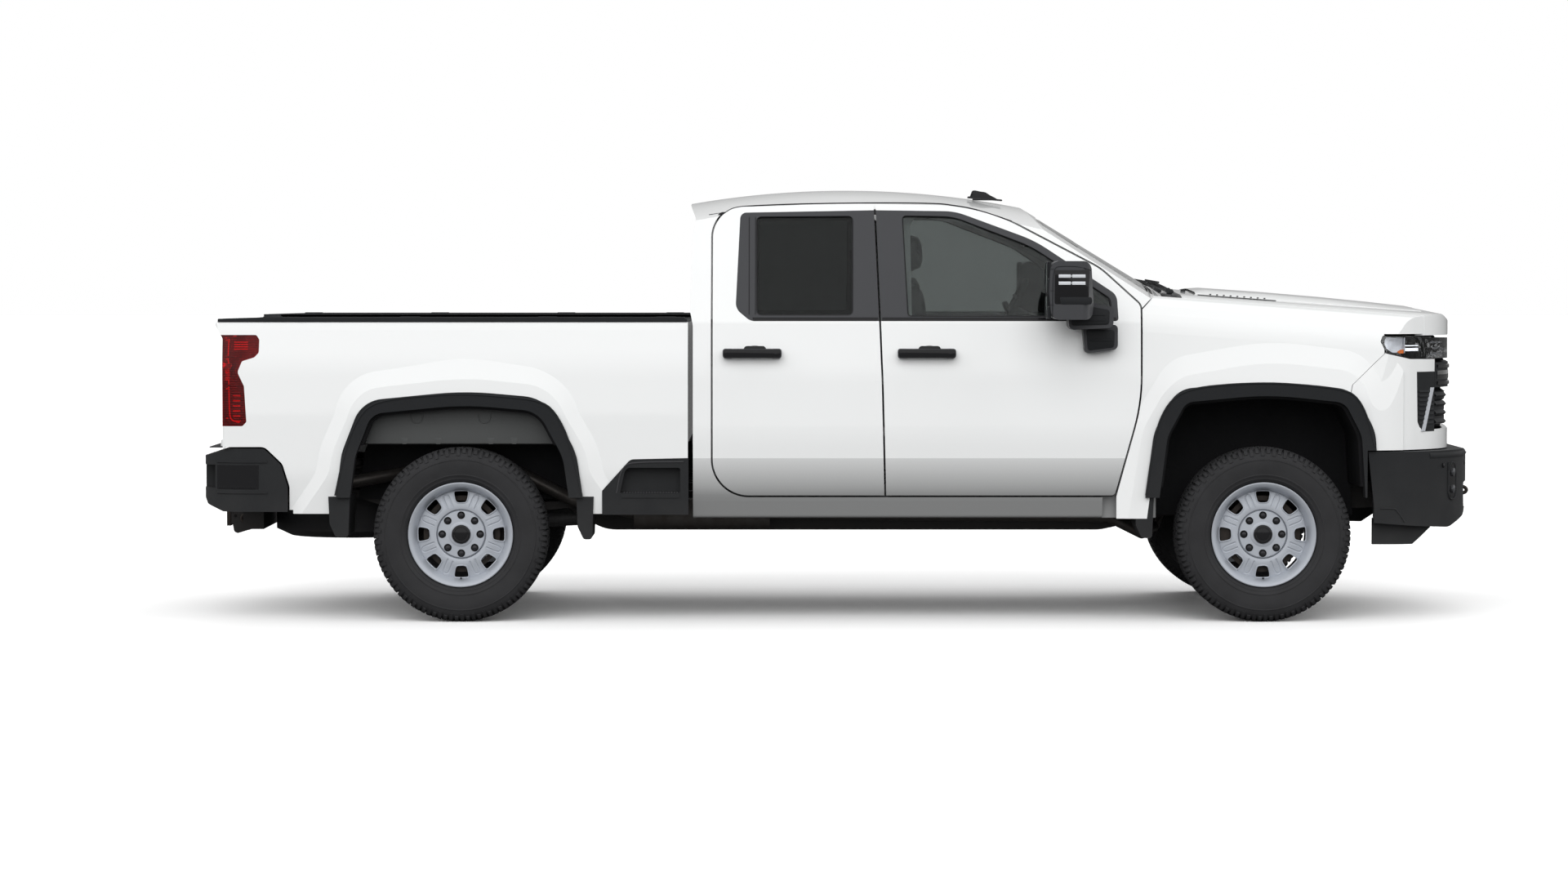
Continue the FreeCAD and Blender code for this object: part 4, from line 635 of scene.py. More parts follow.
def build_materials():
    """Every finish once, by the name that pieces and CAD nodes use."""
    tint = tuple(chosen("glass"))
    MATERIALS.update({
        "paint": paint(),
        # Door paint carries a painted shade band that darkens its lower part.
        "door_paint": paint("door_paint", True),
        # Painted shade: a dark grey for the hollows behind the door handles.
        "paint_shade": satin("paint_shade", (0.20, 0.20, 0.205), 0.35, 0.0, 40.0, (0.30, 0.30, 0.305)),
        "surround": plastic("surround_plastic", (0.045, 0.046, 0.05), 0.42, 500.0),
        "plastic": plastic(),
        "trim": plastic("trim_plastic", (0.035, 0.035, 0.038), 0.6, 420.0),
        "liner": plastic("liner_plastic", (0.008, 0.008, 0.009), 0.8, 300.0, 0.04),
        # Wheelhouse grey: partly the liner's own colour, partly a painted shade.
        "liner_grey": plastic("wheelhouse_grey", (0.075, 0.078, 0.078), 0.6, 300.0, 0.1),
        "gloss": gloss_black(),
        "chassis": satin("chassis_paint", (0.018, 0.018, 0.019), 0.5, 0.2, 60.0, (0.035, 0.032, 0.03)),
        "engine": satin("engine_metal", (0.30, 0.30, 0.31), 0.5, 0.8, 50.0, (0.2, 0.2, 0.2)),
        "exhaust": satin("exhaust_steel", (0.17, 0.165, 0.16), 0.42, 0.9, 25.0, (0.10, 0.085, 0.075)),
        "iron": satin("knuckle_iron", (0.045, 0.043, 0.042), 0.6, 0.6, 70.0, (0.07, 0.055, 0.045)),
        "nut": satin("nut_steel", (0.12, 0.12, 0.13), 0.3, 0.9, 120.0),
        "steel": satin("zinc_steel", (0.35, 0.36, 0.38), 0.35, 0.9, 120.0),
        "lamp_silver": satin("lamp_silver", (0.22, 0.225, 0.24), 0.25, 0.9, 60.0),
        "silver": satin("silver_trim", (0.60, 0.62, 0.66), 0.32, 0.2, 60.0, (0.50, 0.52, 0.56)),
        "chrome": satin("bright_metal", (0.75, 0.76, 0.78), 0.12, 1.0, 40.0, (0.68, 0.69, 0.71)),
        "wheel": wheel_paint(),
        "rubber": rubber(),
        "seal": rubber("window_seal", (0.010, 0.010, 0.011), 0.6),
        "glass": glass("window_glass", tint),
        "screen": glass("windshield_glass", scaled(tint, 0.55)),
        "shade_band": glass("shade_band_glass", scaled(tint, 0.15)),
        "privacy": glass("privacy_glass", scaled(tint, 0.30)),
        "clear": glass("lamp_clear", (0.95, 0.96, 0.97)),
        "mirror": satin("mirror_glass", (0.80, 0.82, 0.83), 0.08, 1.0, 5.0, (0.78, 0.80, 0.82)),
        "red": lamp_red(),
        "red_bowl": satin("red_bowl", (0.30, 0.004, 0.005), 0.45, 0.2, 30.0, (0.14, 0.002, 0.003)),
        "red_light": glowing("red_light", (0.95, 0.06, 0.05), 1.1),
        "amber": glowing("amber_lens", (0.75, 0.16, 0.01), 0.15),
        "beam": glowing("beam_light", (0.9, 0.92, 0.95), 0.7),
        "white_light": glowing("white_light", (0.62, 0.64, 0.67), 0.12),
        "cloth": cloth(),
    })


FINISHES = {
    "screen": "cab_glass",
    "paint": "hood front_fenders front_fascia bed_sides fuel_door bed_floor tailgate",
    "clear": "headlamps",
    "plastic": "grille front_bumper cowl_panel rear_bumper body_mouldings",
    "red": "tail_lamps",
    "liner": "arch_liners fuel_tank",
    "chassis": "frame_rails frame_crossmembers rear_axle leaf_springs front_suspension hitch_receiver steering_link",
    "engine": "engine_block driveline",
    "exhaust": "exhaust",
    "rubber": "spare_wheel",
    "iron": "knuckle_left knuckle_right",
    "trim": "dashboard steering_wheel",
    "cloth": "front_seats rear_seat",
    "gloss": "roof_antenna",
}
NODE_FINISH = {name: finish for finish, names in FINISHES.items() for name in names.split()}


def finish_of(name):
    if name in NODE_FINISH:
        return NODE_FINISH[name]
    if name.startswith("tyre"):
        return "rubber"
    if name.startswith("rim"):
        return "wheel"
    if name.endswith("_glass"):
        return "privacy" if "rear" in name else "glass"
    if name.endswith("_trim"):
        return "surround"
    return "door_paint"


class TRUCK_OT_finishes(Operator):
    """Give every CAD node its finish"""
    bl_idname = "truck.finishes"
    bl_label = "Finishes"

    def execute(self, context):
        build_materials()
        for name, node in NODES.items():
            for slot in node.material_slots:
                slot.material = MATERIALS[finish_of(name)]
        return {"FINISHED"}


# Wheels, built round the Y axis with their face to +Y

WHEEL_PIECES = []
SPOKES = 8
NUT_CIRCLE = 90


def wheel_middle(name):
    low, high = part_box("tyre_" + name)
    return (Vector(low) + Vector(high)) / 2


def to_wheel(bm, name):
    """Turn a wheel part to its side of the truck and put it in place."""
    if name.endswith("right"):
        turn(bm, 180, "Z")
    bmesh.ops.translate(bm, vec=wheel_middle(name), verts=bm.verts)


def add_around(bm, build, count, start=0.0):
    """Copies of a part, turned round the Y axis."""
    for index in range(count):
        part = bmesh.new()
        build(part)
        turn(part, 360 / count * index + start)
        absorb(bm, part)


def add_blocks(bm, outline, count, angle, start=0.0, skew=0.0):
    """Tread blocks: an outline of (radius, y) swept by an angle round the Y axis, and its copies all round."""
    part = bmesh.new()
    moved = extrude(part, [part.verts.new(mm(0, y, r)) for r, y in outline])
    bmesh.ops.rotate(part, cent=ORIGIN, matrix=Matrix.Rotation(angle, 3, "Y"), verts=moved)
    for vert in part.verts:
        vert.co = Matrix.Rotation(start + skew * vert.co.y, 3, "Y") @ vert.co
    bmesh.ops.recalc_face_normals(part, faces=part.faces)
    geometry = list(part.verts) + list(part.edges) + list(part.faces)
    bmesh.ops.spin(part, geom=geometry, cent=ORIGIN, axis=ACROSS, dvec=ORIGIN,
                   angle=2 * math.pi * (count - 1) / count, steps=count - 1, use_duplicate=True)
    absorb(bm, part)


@on_wheels(WHEEL_PIECES, "rubber", smooth=30.0, replaced="tyre_%s")
def road_tyre(bm):
    """Tyre with a ringed sidewall and its tread in blocks."""
    settings = bpy.context.scene.truck_tyre
    top = settings.radius * 1000
    base = top - settings.groove * 1000
    half = [
        (227, 98), (231, 104), (249, 105.5), (255, 117), (262, 124), (266, 127.5), (268, 127), (280, 130.5),
        (282, 132.5), (285, 132.8), (287, 131.6), (312, 135.4), (335, 137), (352, 136), (354, 137.5), (357, 137.3),
        (359, 134.5), (372, 131), (384, 125), (394, 116), (base, 104), (base + 0.8, 60), (base + 1, 20),
    ]
    add_spun(bm, half + [(r, -y) for r, y in reversed(half)], 160)
    pitch = 2 * math.pi / settings.shoulder_lugs
    for side in (1, -1):
        for index, (reach, wide) in enumerate(((376, 134), (388, 127))):
            lug = [(top - 1, 82), (top - 1, 104), (top - 5, 113), (top - 13, 122), (reach, wide), (reach - 4, 124),
                   (base - 4, 84)]
            add_blocks(bm, [(r, side * y) for r, y in lug], settings.shoulder_lugs // 2, pitch * 0.60, pitch * index)
    pitch = 2 * math.pi / settings.rib_blocks
    for y0, y1, skew, shift in ((-76, -40, 3.0, 0.0), (-34, -3, -3.5, 0.3), (3, 34, -3.5, 0.8), (40, 76, 3.0, 0.5)):
        rib = [(top, y0), (top + 0.3, y1), (base - 3, y1 + 2), (base - 3, y0 - 2)]
        add_blocks(bm, rib, settings.rib_blocks, pitch * 0.78, pitch * shift, skew * pitch)


@on_wheels(WHEEL_PIECES, "wheel", smooth=30.0, replaced="rim_%s")
def wheel_barrel(bm):
    add_spun(bm, [
        (217, -115), (247, -115), (248, -110), (246, -105), (232, -104), (225, -98), (225, -30), (214, 0),
        (214, 60), (225, 92), (228, 104), (243, 105), (247, 108), (248.5, 112), (247.5, 116.5), (244, 118.5),
        (240, 117.5), (233, 112), (228, 108), (222, 96), (209, 64), (208.5, 2), (217.5, -26), (217.5, -100),
    ], 144)


def hole_outline(inner, outer, inner_width, outer_width):
    w0, w1 = inner_width / 2, outer_width / 2
    return round_outline([(inner, -w0), (outer, -w1), (outer, w1), (inner, w0)], 17)


def hand_hole(bm):
    add_prism(bm, "xz", hole_outline(149, 205, 50, 74), 0, 10, 90)


def hole_lip(bm):
    """Rolled lip round a hand hole."""
    path = [(r, 62.5 - (r - 150) * 0.16, w) for r, w in hole_outline(147, 207, 54, 78)[::2]]
    add_tube(bm, path + path[:1], 3.2, 8)


def spoke_groove(bm):
    legs = [(132, 65.5, -13), (150, 63.5, -13), (180, 58, -14), (198, 54.8, -11)]
    add_tube(bm, legs + [(203, 53.8, 0)] + [(x, y, -z) for x, y, z in reversed(legs)], 5.5, 8)


@on_wheels(WHEEL_PIECES, "wheel", smooth=40.0)
def wheel_disc(bm):
    """Pressed disc of the steel wheel with its hand holes and a pressed groove on each spoke."""
    disc, holes, grooves = bmesh.new(), bmesh.new(), bmesh.new()
    add_spun(disc, [
        (216.8, 40), (214, 47), (207, 51), (196, 53), (180, 56), (165, 59), (152, 62), (140, 63.5), (126, 63.5),
        (119, 62), (116, 57), (115, 46), (0.01, 46), (0.01, 38.5), (122, 38.5), (140, 50), (165, 49), (196, 44),
        (208, 38), (216.8, 30),
    ], 144)
    add_around(holes, hand_hole, SPOKES, 90)
    add_around(grooves, spoke_groove, SPOKES, 22.5)
    absorb(bm, carve(disc, [holes, grooves]))
    add_around(bm, hole_lip, SPOKES, 90)


def nut_places():
    for index in range(SPOKES):
        angle = math.radians(45 * index + 45)
        yield NUT_CIRCLE * math.cos(angle), NUT_CIRCLE * math.sin(angle)


@on_wheels(WHEEL_PIECES, "wheel")
def hub_plate(bm):
    """Cover plate over the hub with a pocket for each nut."""
    plate, pockets = bmesh.new(), bmesh.new()
    add_spun(plate, [(111, 50), (111.5, 62), (108, 65.5), (60, 67), (56, 70), (50, 71), (0.01, 71), (0.01, 50)], 96)
    for x, z in nut_places():
        add_rod(pockets, (x, 53, z), (x, 90, z), 18.5, 28)
    absorb(bm, carve(plate, [pockets]))


@on_wheels(WHEEL_PIECES, "nut")
def lug_nuts(bm):
    """Capped nuts standing in the plate's pockets."""
    for x, z in nut_places():
        add_rod(bm, (x, 52, z), (x, 66, z), 12.5, 6, 1.0)
        add_spun(bm, [(11, 65), (10.5, 71), (7, 74), (0.01, 75), (0.01, 64), (11, 64)], 20, (x, 0, z))


@on_wheels(WHEEL_PIECES, "plastic")
def nut_pockets(bm):
    """Dark cups round the nuts."""
    for x, z in nut_places():
        add_spun(bm, [(18.3, 66.3), (17.2, 66.3), (16.8, 56), (0.01, 55.5), (0.01, 54), (18.3, 54)], 28, (x, 0, z))


@on_wheels(WHEEL_PIECES, "gloss")
def centre_cap(bm):
    add_spun(bm, [(45, 60), (45, 76), (43, 79), (34, 80), (32, 78.5), (20, 79.6), (0.01, 80.2), (0.01, 60)], 64)


@on_wheels(WHEEL_PIECES, "seal")
def valve_stem(bm):
    add_rod(bm, (0, 70, -208), (0, 104, -206), 4.0, 12, 0.8)


class TRUCK_OT_wheels(Step, Operator):
    """Build the four tyres and steel wheels"""
    bl_idname = "truck.wheels"
    bl_label = "Wheels"
    pieces = WHEEL_PIECES


# Doors. A pair is modelled on the truck's right side.

DOORS = []
FRONT_DOOR, REAR_DOOR = "door_front_%s", "door_rear_%s"
FRONT_GLASS = [(300, 1441), (1266, 1441), (1258, 1530), (890, 1775), (520, 1917), (277, 1921)]
REAR_GLASS = [(-413, 1447), (44, 1447), (47, 1919), (-414, 1916)]
FRONT_LOOP = [(1378, 1220), (1377, 1485), (1205, 1642), (646, 1936), (178, 1944), (200, 1430), (215, 1044),
              (226, 622), (1262, 622), (1310, 800)]
REAR_LOOP = [(164, 622), (155, 1044), (140, 1430), (122, 1944), (-596, 1932), (-596, 622)]
CAB_SIDE = [(490, 950), (600, 988), (880, 1011), (1180, 1007), (1340, 994), (1415, 982), (1700, 886), (1985, 780)]
CARD_Y = -899
GRIP_Y = -1004


def cab_side_y(z):
    """Right-hand skin of the cab's side at a height, in millimetres."""
    for (z0, y0), (z1, y1) in zip(CAB_SIDE, CAB_SIDE[1:]):
        if z <= z1:
            return -(y0 + (y1 - y0) * (z - z0) / (z1 - z0))
    return -CAB_SIDE[-1][1]


@pair(DOORS, "gloss", FRONT_DOOR)
def mirror_window(bm):
    add_prism(bm, "xz", [(971, 1504), (1129, 1504), (1134, 1662), (971, 1662)], 10, -1336, -1326, 1)


@pair(DOORS, "white_light", FRONT_DOOR)
def mirror_lamps(bm):
    for z in (1602, 1635):
        add_box(bm, (990, -1337, z - 8), (1046, -1326, z + 7), 1)
        add_box(bm, (1052, -1337, z - 8), (1114, -1326, z + 7), 1)
        add_box(bm, (994, -1337.5, z - 2), (1110, -1330, z + 1), 0.5)


@pair(DOORS, "plastic", FRONT_DOOR)
def mirror_ribs(bm):
    add_prism(bm, "xz", [(1000, 1503), (1141, 1503), (1147, 1520), (1141, 1537), (995, 1537)], 6, -1336.5, -1325, 1)
    for z in (1500, 1566, 1666):
        add_box(bm, (949, -1336.5, z - 1.5), (968, -1330, z + 1.5), 0.5)
    add_tube(bm, [(962, -1334.5, 1440), (962, -1334.5, 1560), (966, -1334.5, 1672), (1000, -1334.5, 1680),
                  (1100, -1334.5, 1678), (1140, -1330, 1660)], 2.2)
    add_prism(bm, "xz", [(1060, 1402), (1235, 1408), (1238, 1476), (1150, 1492), (1060, 1484)], 14, -1190, -1183, 3)
    for z in (1425, 1450):
        add_box(bm, (1085, -1193, z), (1215, -1186, z + 4), 1.5)
    add_prism(bm, "xz", [(1145, 1284), (1268, 1300), (1270, 1380), (1136, 1384)], 14, -1080, -1073, 3)
    add_box(bm, (1150, -1084, 1330), (1262, -1076, 1336), 2)


@pair(DOORS, "mirror", FRONT_DOOR)
def mirror_panes(bm):
    add_prism(bm, "yz", rectangle(-1322, 1552, -1120, 1692), 14, 941.5, 945.5, 1)
    add_prism(bm, "yz", rectangle(-1322, 1446, -1120, 1540), 14, 941, 949.5, 2)


@pair(DOORS, "plastic", FRONT_DOOR)
def mirror_frame(bm):
    for z0, z1 in ((1545, 1698), (1439, 1546)):
        frame_path = [(943, -1328, z0), (943, -1328, z1), (943, -1112, z1), (943, -1112, z0)]
        add_tube(bm, frame_path + frame_path[:2], 4.5, 8)
    add_box(bm, (946, -1330, 1436), (956, -1110, 1700), 3)


@pair(DOORS, "gloss", REAR_DOOR, name="belt_strip_rear", args=((-430, 160),))
@pair(DOORS, "gloss", FRONT_DOOR, name="belt_strip_front", args=((182, 1285),))
def belt_strip(bm, ends):
    add_strip(bm, side_point, DOOR_SKIN, ends, 9, ((1423, 1.0), (1427, 7.0), (1436, 8.0), (1439, 2.0)), 2.5)


@pair(DOORS, "seal", REAR_DOOR, name="glass_run_rear", args=(REAR_GLASS,))
@pair(DOORS, "seal", FRONT_DOOR, name="glass_run_front", args=(FRONT_GLASS,))
def glass_run(bm, points):
    """Rubber run channel round a window opening, just inside the skin."""
    loop = round_outline(points, 22, 4)
    add_tube(bm, [(x, cab_side_y(z) + 10, z) for x, z in loop + loop[:2]], 6.0, 8)


def grip(bm, x0, x1):
    """Door handle on its two feet, with a lock cylinder."""
    y = GRIP_Y
    bar = [(x0 + 6, 1252), (x1 - 6, 1252), (x1 - 2, 1272), (x1 - 6, 1288), (x0 + 6, 1288), (x0 + 2, 1272)]
    add_prism(bm, "xz", bar, 9, y - 47, y - 38, 4, 3)
    middle = (x0 + x1) / 2 + 13
    hump = [(middle - 58, 1282), (middle + 58, 1282), (middle + 46, 1305), (middle - 46, 1305)]
    add_prism(bm, "xz", hump, 10, y - 36, y - 8, 3)
    for x in (x0 + 26, x1 - 26):
        add_prism(bm, "xz", rectangle(x - 25, 1246, x + 25, 1292), 12, y - 6, y + 6, 2)
    add_rod(bm, (x1 - 26, y - 44, 1268), (x1 - 26, y - 49, 1268), 8, 20, 1)


def handle_cup(bm, x0, x1):
    """Shallow dish in the skin behind a door handle, coloured dark grey as a painted shade of its hollow."""
    middle = (x0 + x1) / 2 + 13
    add_spun(bm, [(46, 0), (45, 3.0), (42, 3.2), (34, 1.0), (0.01, 0.6), (0.01, -4), (46, -4)], 48, axis=(0, -1, 0))
    bmesh.ops.scale(bm, vec=(1.15, 1, 0.90), verts=bm.verts)
    skin_y = side_point("door_front_right door_rear_right", middle, 1312)[1]
    bmesh.ops.translate(bm, vec=mm(middle, skin_y - 1.5, 1266), verts=bm.verts)


for end, ends, door in (("front", (253, 527), FRONT_DOOR), ("rear", (-571, -294), REAR_DOOR)):
    pair(DOORS, "gloss", door, name="grip_" + end, args=ends)(grip)
    pair(DOORS, "paint_shade", door, name="handle_cup_" + end, args=ends)(handle_cup)


@pair(DOORS, "seal", REAR_DOOR)
def quarter_lines(bm):
    """Joints either side of the upright trim behind the rear door's glass."""
    for x in (-447, -417):
        add_skin_tube(bm, side_point, "door_rear_right_trim", [(x, z) for z in spread(1452, 1912, 6)], 0.6, 1.8)


@pair(DOORS, "trim", REAR_DOOR, name="door_card_rear", args=(-570, 120))
@pair(DOORS, "trim", FRONT_DOOR, name="door_card_front", args=(250, 1330, 60))
def door_card(bm, x0, x1, cut_back=0):
    """Inner trim of a door: armrest, pull, speaker ring, pocket and switch panel."""
    y = CARD_Y
    panel = [(x0 + 60, 660), (x1 - 70, 660), (x1 - 30 - cut_back, 1000), (x1 - 40, 1395), (x0 + 50, 1395)]
    add_prism(bm, "xz", panel, 40, y, y + 9, 4)
    arm = [(x0 + 110, 1010), (x1 - 190, 1035), (x1 - 150, 1090), (x0 + 110, 1070)]
    add_prism(bm, "xz", arm, 22, y + 4, y + 66, 14, 3)
    pocket = [(x0 + 100, 700), (x1 - 170, 700), (x1 - 150, 860), (x0 + 100, 840)]
    add_prism(bm, "xz", pocket, 24, y + 4, y + 30, 8, 3)
    add_spun(bm, [(86, 0), (86, 10), (78, 13), (74, 9), (10, 7), (0.01, 10), (0.01, 0)], 40,
             (x1 - 190 - cut_back, y + 7, 800))
    add_box(bm, (x0 + 170, y + 8, 1230), (x0 + 300, y + 22, 1262), 5)
    add_tube(bm, [(x0 + 200, y + 14, 1245), (x0 + 240, y + 36, 1247), (x0 + 290, y + 14, 1245)], 6)
    for x in (180, 224, 268, 312):
        add_box(bm, (x0 + x, y + 30, 1072), (x0 + x + 30, y + 54, 1081), 2)


@pair(DOORS, "seal", REAR_DOOR, name="door_seal_rear", args=(REAR_LOOP, 2))
@pair(DOORS, "seal", FRONT_DOOR, name="door_seal_front", args=(FRONT_LOOP, 0))
def door_seal(bm, points, overlap):
    """Rubber seal round a door's inner step; with no overlap it stays open where the hinges are."""
    loop = round_outline(points, 30, 3)
    add_tube(bm, [(x, cab_side_y(z) + 34, z) for x, z in loop + loop[:overlap]], 7.0, 8)


class TRUCK_OT_doors(Step, Operator):
    """Build mirror details, handles, window strips, seals and inner trims of the doors"""
    bl_idname = "truck.doors"
    bl_label = "Doors"
    pieces = DOORS


# Lamps

LAMPS = []
LAMP_SKIN = "headlamps front_fenders front_fascia"
TAIL = "tail_lamps"


def lamp_shell(bm, node, outward, keep_outer, thickness):
    """Outer lens or the bowl behind it, from a copy of a lamp node, thickened inwards."""
    bm.from_mesh(NODES[node].data)
    bmesh.ops.remove_doubles(bm, verts=bm.verts, dist=0.00005)
    unwanted = []
    for face in bm.faces:
        side = 1.0 if face.calc_center_median().y > 0 else -1.0
        facing = face.normal.dot(Vector((outward, side, 0)))
        if (facing > 0.25) != keep_outer:
            unwanted.append(face)
    bmesh.ops.delete(bm, geom=unwanted, context="FACES")
    bmesh.ops.solidify(bm, geom=bm.faces, thickness=thickness)


piece(LAMPS, "clear", name="headlamp_lens", args=("headlamps", 1.0, True, 0.003), replaced="headlamps")(lamp_shell)
piece(LAMPS, "gloss", name="headlamp_bowl", args=("headlamps", 1.0, False, 0.002))(lamp_shell)


@pair(LAMPS, "lamp_silver")
def headlamp_bars(bm):
    for z in (1318, 1290, 1263):
        add_strip(bm, front_point, "headlamps", (-800, -640), 8, ((z - 4, -22), (z + 4, -22)), 6)


@pair(LAMPS, "beam")
def headlamp_light(bm):
    """Lit bars of the headlamp, seen from the side."""
    for z0, z1 in ((1302, 1307), (1279, 1293)):
        add_strip(bm, side_point, LAMP_SKIN, (2652, 2724), 7, ((z0, -7), (z1, -7)), 3)


@pair(LAMPS, "gloss")
def headlamp_modules(bm):
    for y in (-860, -780, -700):
        x = front_point("headlamps", y, 1300, -30)[0]
        add_box(bm, (x - 24, y - 28, 1268), (x - 4, y + 28, 1318), 6)
        add_spun(bm, [(17, 0), (17, 9), (13, 12), (0.01, 14), (0.01, 0)], 28, (x - 5, y, 1292), AHEAD)


@pair(LAMPS, "amber")
def headlamp_amber(bm):
    levels = ((1268, -8, 2622, 2644), (1275, -8, 2612, 2644), (1286, -8, 2630, 2644))
    add_strip(bm, side_point, LAMP_SKIN, None, 5, levels, 4)


@pair(LAMPS, "silver")
def headlamp_reflector(bm):
    """Bright facets in the rear part of the headlamp."""
    levels = ((1272, -11, 2590, 2644), (1290, -17, 2562, 2644), (1312, -20, 2552, 2644), (1330, -17, 2554, 2644),
              (1343, -11, 2560, 2644))
    add_strip(bm, side_point, LAMP_SKIN, None, 8, levels, 3)
    add_ribbon(bm, [[side_point(LAMP_SKIN, x, z, -6) for z in spread(1270, 1343, 5)] for x in (2647, 2651)], 14)


piece(LAMPS, "red", name="tail_lens", args=("tail_lamps", -1.0, True, 0.003), replaced="tail_lamps")(lamp_shell)
piece(LAMPS, "red_bowl", name="tail_bowl", args=("tail_lamps", -1.0, False, 0.002))(lamp_shell)


@pair(LAMPS, "red_light")
def tail_bars(bm):
    """Lit segments of the tail lamp: an upper block, a lower ladder and a light guide down the edge."""
    for z in (1322, 1311, 1300, 1289):
        add_strip(bm, side_point, TAIL, (-2876, -2812), 5, ((z - 2, -8), (z + 2, -8)), 4)
    for z in (1070, 1046, 1022, 998, 974, 950):
        add_strip(bm, side_point, TAIL, (-2880, -2846), 4, ((z - 2.5, -8), (z + 2.5, -8)), 4)
    guide = ((-2900, 1336), (-2904, 1270), (-2902, 1200), (-2900, 1120), (-2898, 1000), (-2892, 948), (-2850, 944))
    add_skin_tube(bm, side_point, TAIL, guide, -9, 3.0)
    for z in (1330, 1240, 1100, 960):
        add_skin_tube(bm, rear_point, TAIL, [(y, z) for y in spread(-915, -848, 4)], -9, 3.0)


@pair(LAMPS, "gloss")
def tail_dividers(bm):
    """Dark ribs between the tail lamp's chambers."""
    for z in (1252, 1118):
        add_strip(bm, side_point, TAIL, (-2905, -2866), 4, ((z - 5, -5), (z + 5, -5)), 16)
    for z0, z1 in ((1275, 1340), (942, 1090)):
        add_strip(bm, side_point, TAIL, (-2905, -2850), 5, ((z0, -20), (z1, -20)), 3)


@pair(LAMPS, "chrome")
def reverse_lamp(bm):
    add_strip(bm, side_point, TAIL, (-2918, -2896), 4, ((1142, -6), (1165, -6), (1190, -6), (1222, -6)), 6)
    add_box(bm, (-2926, -900, 1140), (-2918, -850, 1224), 3)


class TRUCK_OT_lamps(Step, Operator):
    """Build lenses, bowls, reflectors and light guides of the lamps"""
    bl_idname = "truck.lamps"
    bl_label = "Lamps"
    pieces = LAMPS


# Cab trim outside

CAB_TRIM = []


# Grey inner panel of the rear wheelhouse with its clips; its grey is partly the liner's own colour and partly a
# painted shade of the wheel box wall behind it.
@pair(CAB_TRIM, "liner_grey")
def wheelhouse_panel(bm):
    arch = [(-2294, 840), (-2226, 958), (-2150, 1008), (-1790, 1026), (-1460, 1010), (-1372, 940), (-1330, 840)]
    add_prism(bm, "xz", arch, 40, -916, -909.5, 2)
    for x in (-2080, -1920, -1670, -1560):
        add_prism(bm, "xz", [(x - 18, 868), (x + 18, 868), (x + 11, 838), (x - 11, 838)], 5, -917, -912, 1)
    for x in (-2020, -1700):
        add_tube(bm, [(x - 30, -917, 985), (x - 28, -917, 945), (x, -917, 935), (x + 28, -917, 945),
                      (x + 30, -917, 985)], 3)


@piece(CAB_TRIM, "paint", "hood", 50)
def hood_dome(bm):
    """Low raised middle of the hood, with sloping edges."""
    rows = []
    for x, half, rise in ((1700, 470, 8), (1760, 480, 16), (2050, 500, 18), (2350, 520, 15), (2600, 530, 9),
                          (2780, 520, 2.5)):
        crown = [top_point("hood", x, y, 1.2 + rise) for y in (-half, -half / 2, 0, half / 2, half)]
        rows.append([top_point("hood", x, -half - 60, 1.2)] + crown + [top_point("hood", x, half + 60, 1.2)])
    add_ribbon(bm, rows, 2.0)


@pair(CAB_TRIM, "gloss", "hood")
def hood_vent(bm):
    """Black side vent of the hood's raised middle, with louvres."""
    rows = []
    for x, half in ((1700, 6), (1760, 20), (1880, 26), (2000, 22), (2076, 4)):
        rows.append([top_point("hood", x, -640 + dy, 3.0) for dy in (-half, -half / 3, half / 3, half)])
    add_ribbon(bm, rows, 4)
    for x in spread(1760, 2020, 9):
        x, y, z = top_point("hood", x, -640, 4.0)
        add_box(bm, (x - 4, y - 17, z), (x + 4, y + 17, z + 6), 2)


@piece(CAB_TRIM, "plastic", name="wiper_middle", args=(60.0,))
@piece(CAB_TRIM, "plastic", name="wiper_right", args=(-610.0,))
def wiper(bm, y):
    """Wiper arm with its blade, lying at the foot of the windshield."""
    add_spun(bm, [(20, 0), (20, 12), (14, 18), (0.01, 20), (0.01, 0)], 24, (1566, y, 1552), (0.2, 0, 1))
    add_box(bm, (1550, y - 8, 1566), (1570, y + 120, 1576), 4)
    add_tube(bm, [(1560, y + 100, 1574), (1530, y + 300, 1596), (1516, y + 430, 1606)], 5)
    blade = [(1524 - index * 3, y + 60 + index * 62, 1592 + index * 1.2) for index in range(9)]
    add_ribbon(bm, [[(x, y, z + lift) for x, y, z in blade] for lift in (6, 14)], 5)


@piece(CAB_TRIM, "gloss")
def cowl_slots(bm):
    for y in spread(-720, 720, 37):
        add_box(bm, (1552, y - 7, 1536), (1572, y + 7, 1544), 2)


@piece(CAB_TRIM, "plastic", "hood")
def washer_jets(bm):
    for y in (-330, 330):
        x, _, z = top_point("hood", 1660, y, 2)
        add_box(bm, (x - 14, y - 10, z - 3), (x + 10, y + 10, z + 7), 4)


@piece(CAB_TRIM, "gloss")
def antenna_fin(bm):
    fin = [(622, 2012), (765, 2002), (742, 2016), (690, 2040), (650, 2049), (636, 2048)]
    add_prism(bm, "xz", fin, 12, -262, -236, 8, 3)
    add_prism(bm, "xz", [(612, 2010), (782, 1996), (780, 2004), (614, 2020)], 6, -285, -213, 5)


@pair(CAB_TRIM, "seal")
def roof_ditch(bm):
    """Thin moulding over each long edge of the roof."""
    add_ribbon(bm, [[top_point(DOOR_SKIN, x, y, 1.5) for x in spread(-640, 760, 13)] for y in (-740, -730)], 5)


@piece(CAB_TRIM, "red")
def stop_lamp(bm):
    levels = ((1912, 1, -184, 184), (1918, 5, -190, 190), (1938, 5, -184, 184), (1944, 1, -178, 178))
    add_strip(bm, rear_point, "cab_shell", None, 9, levels, 4)


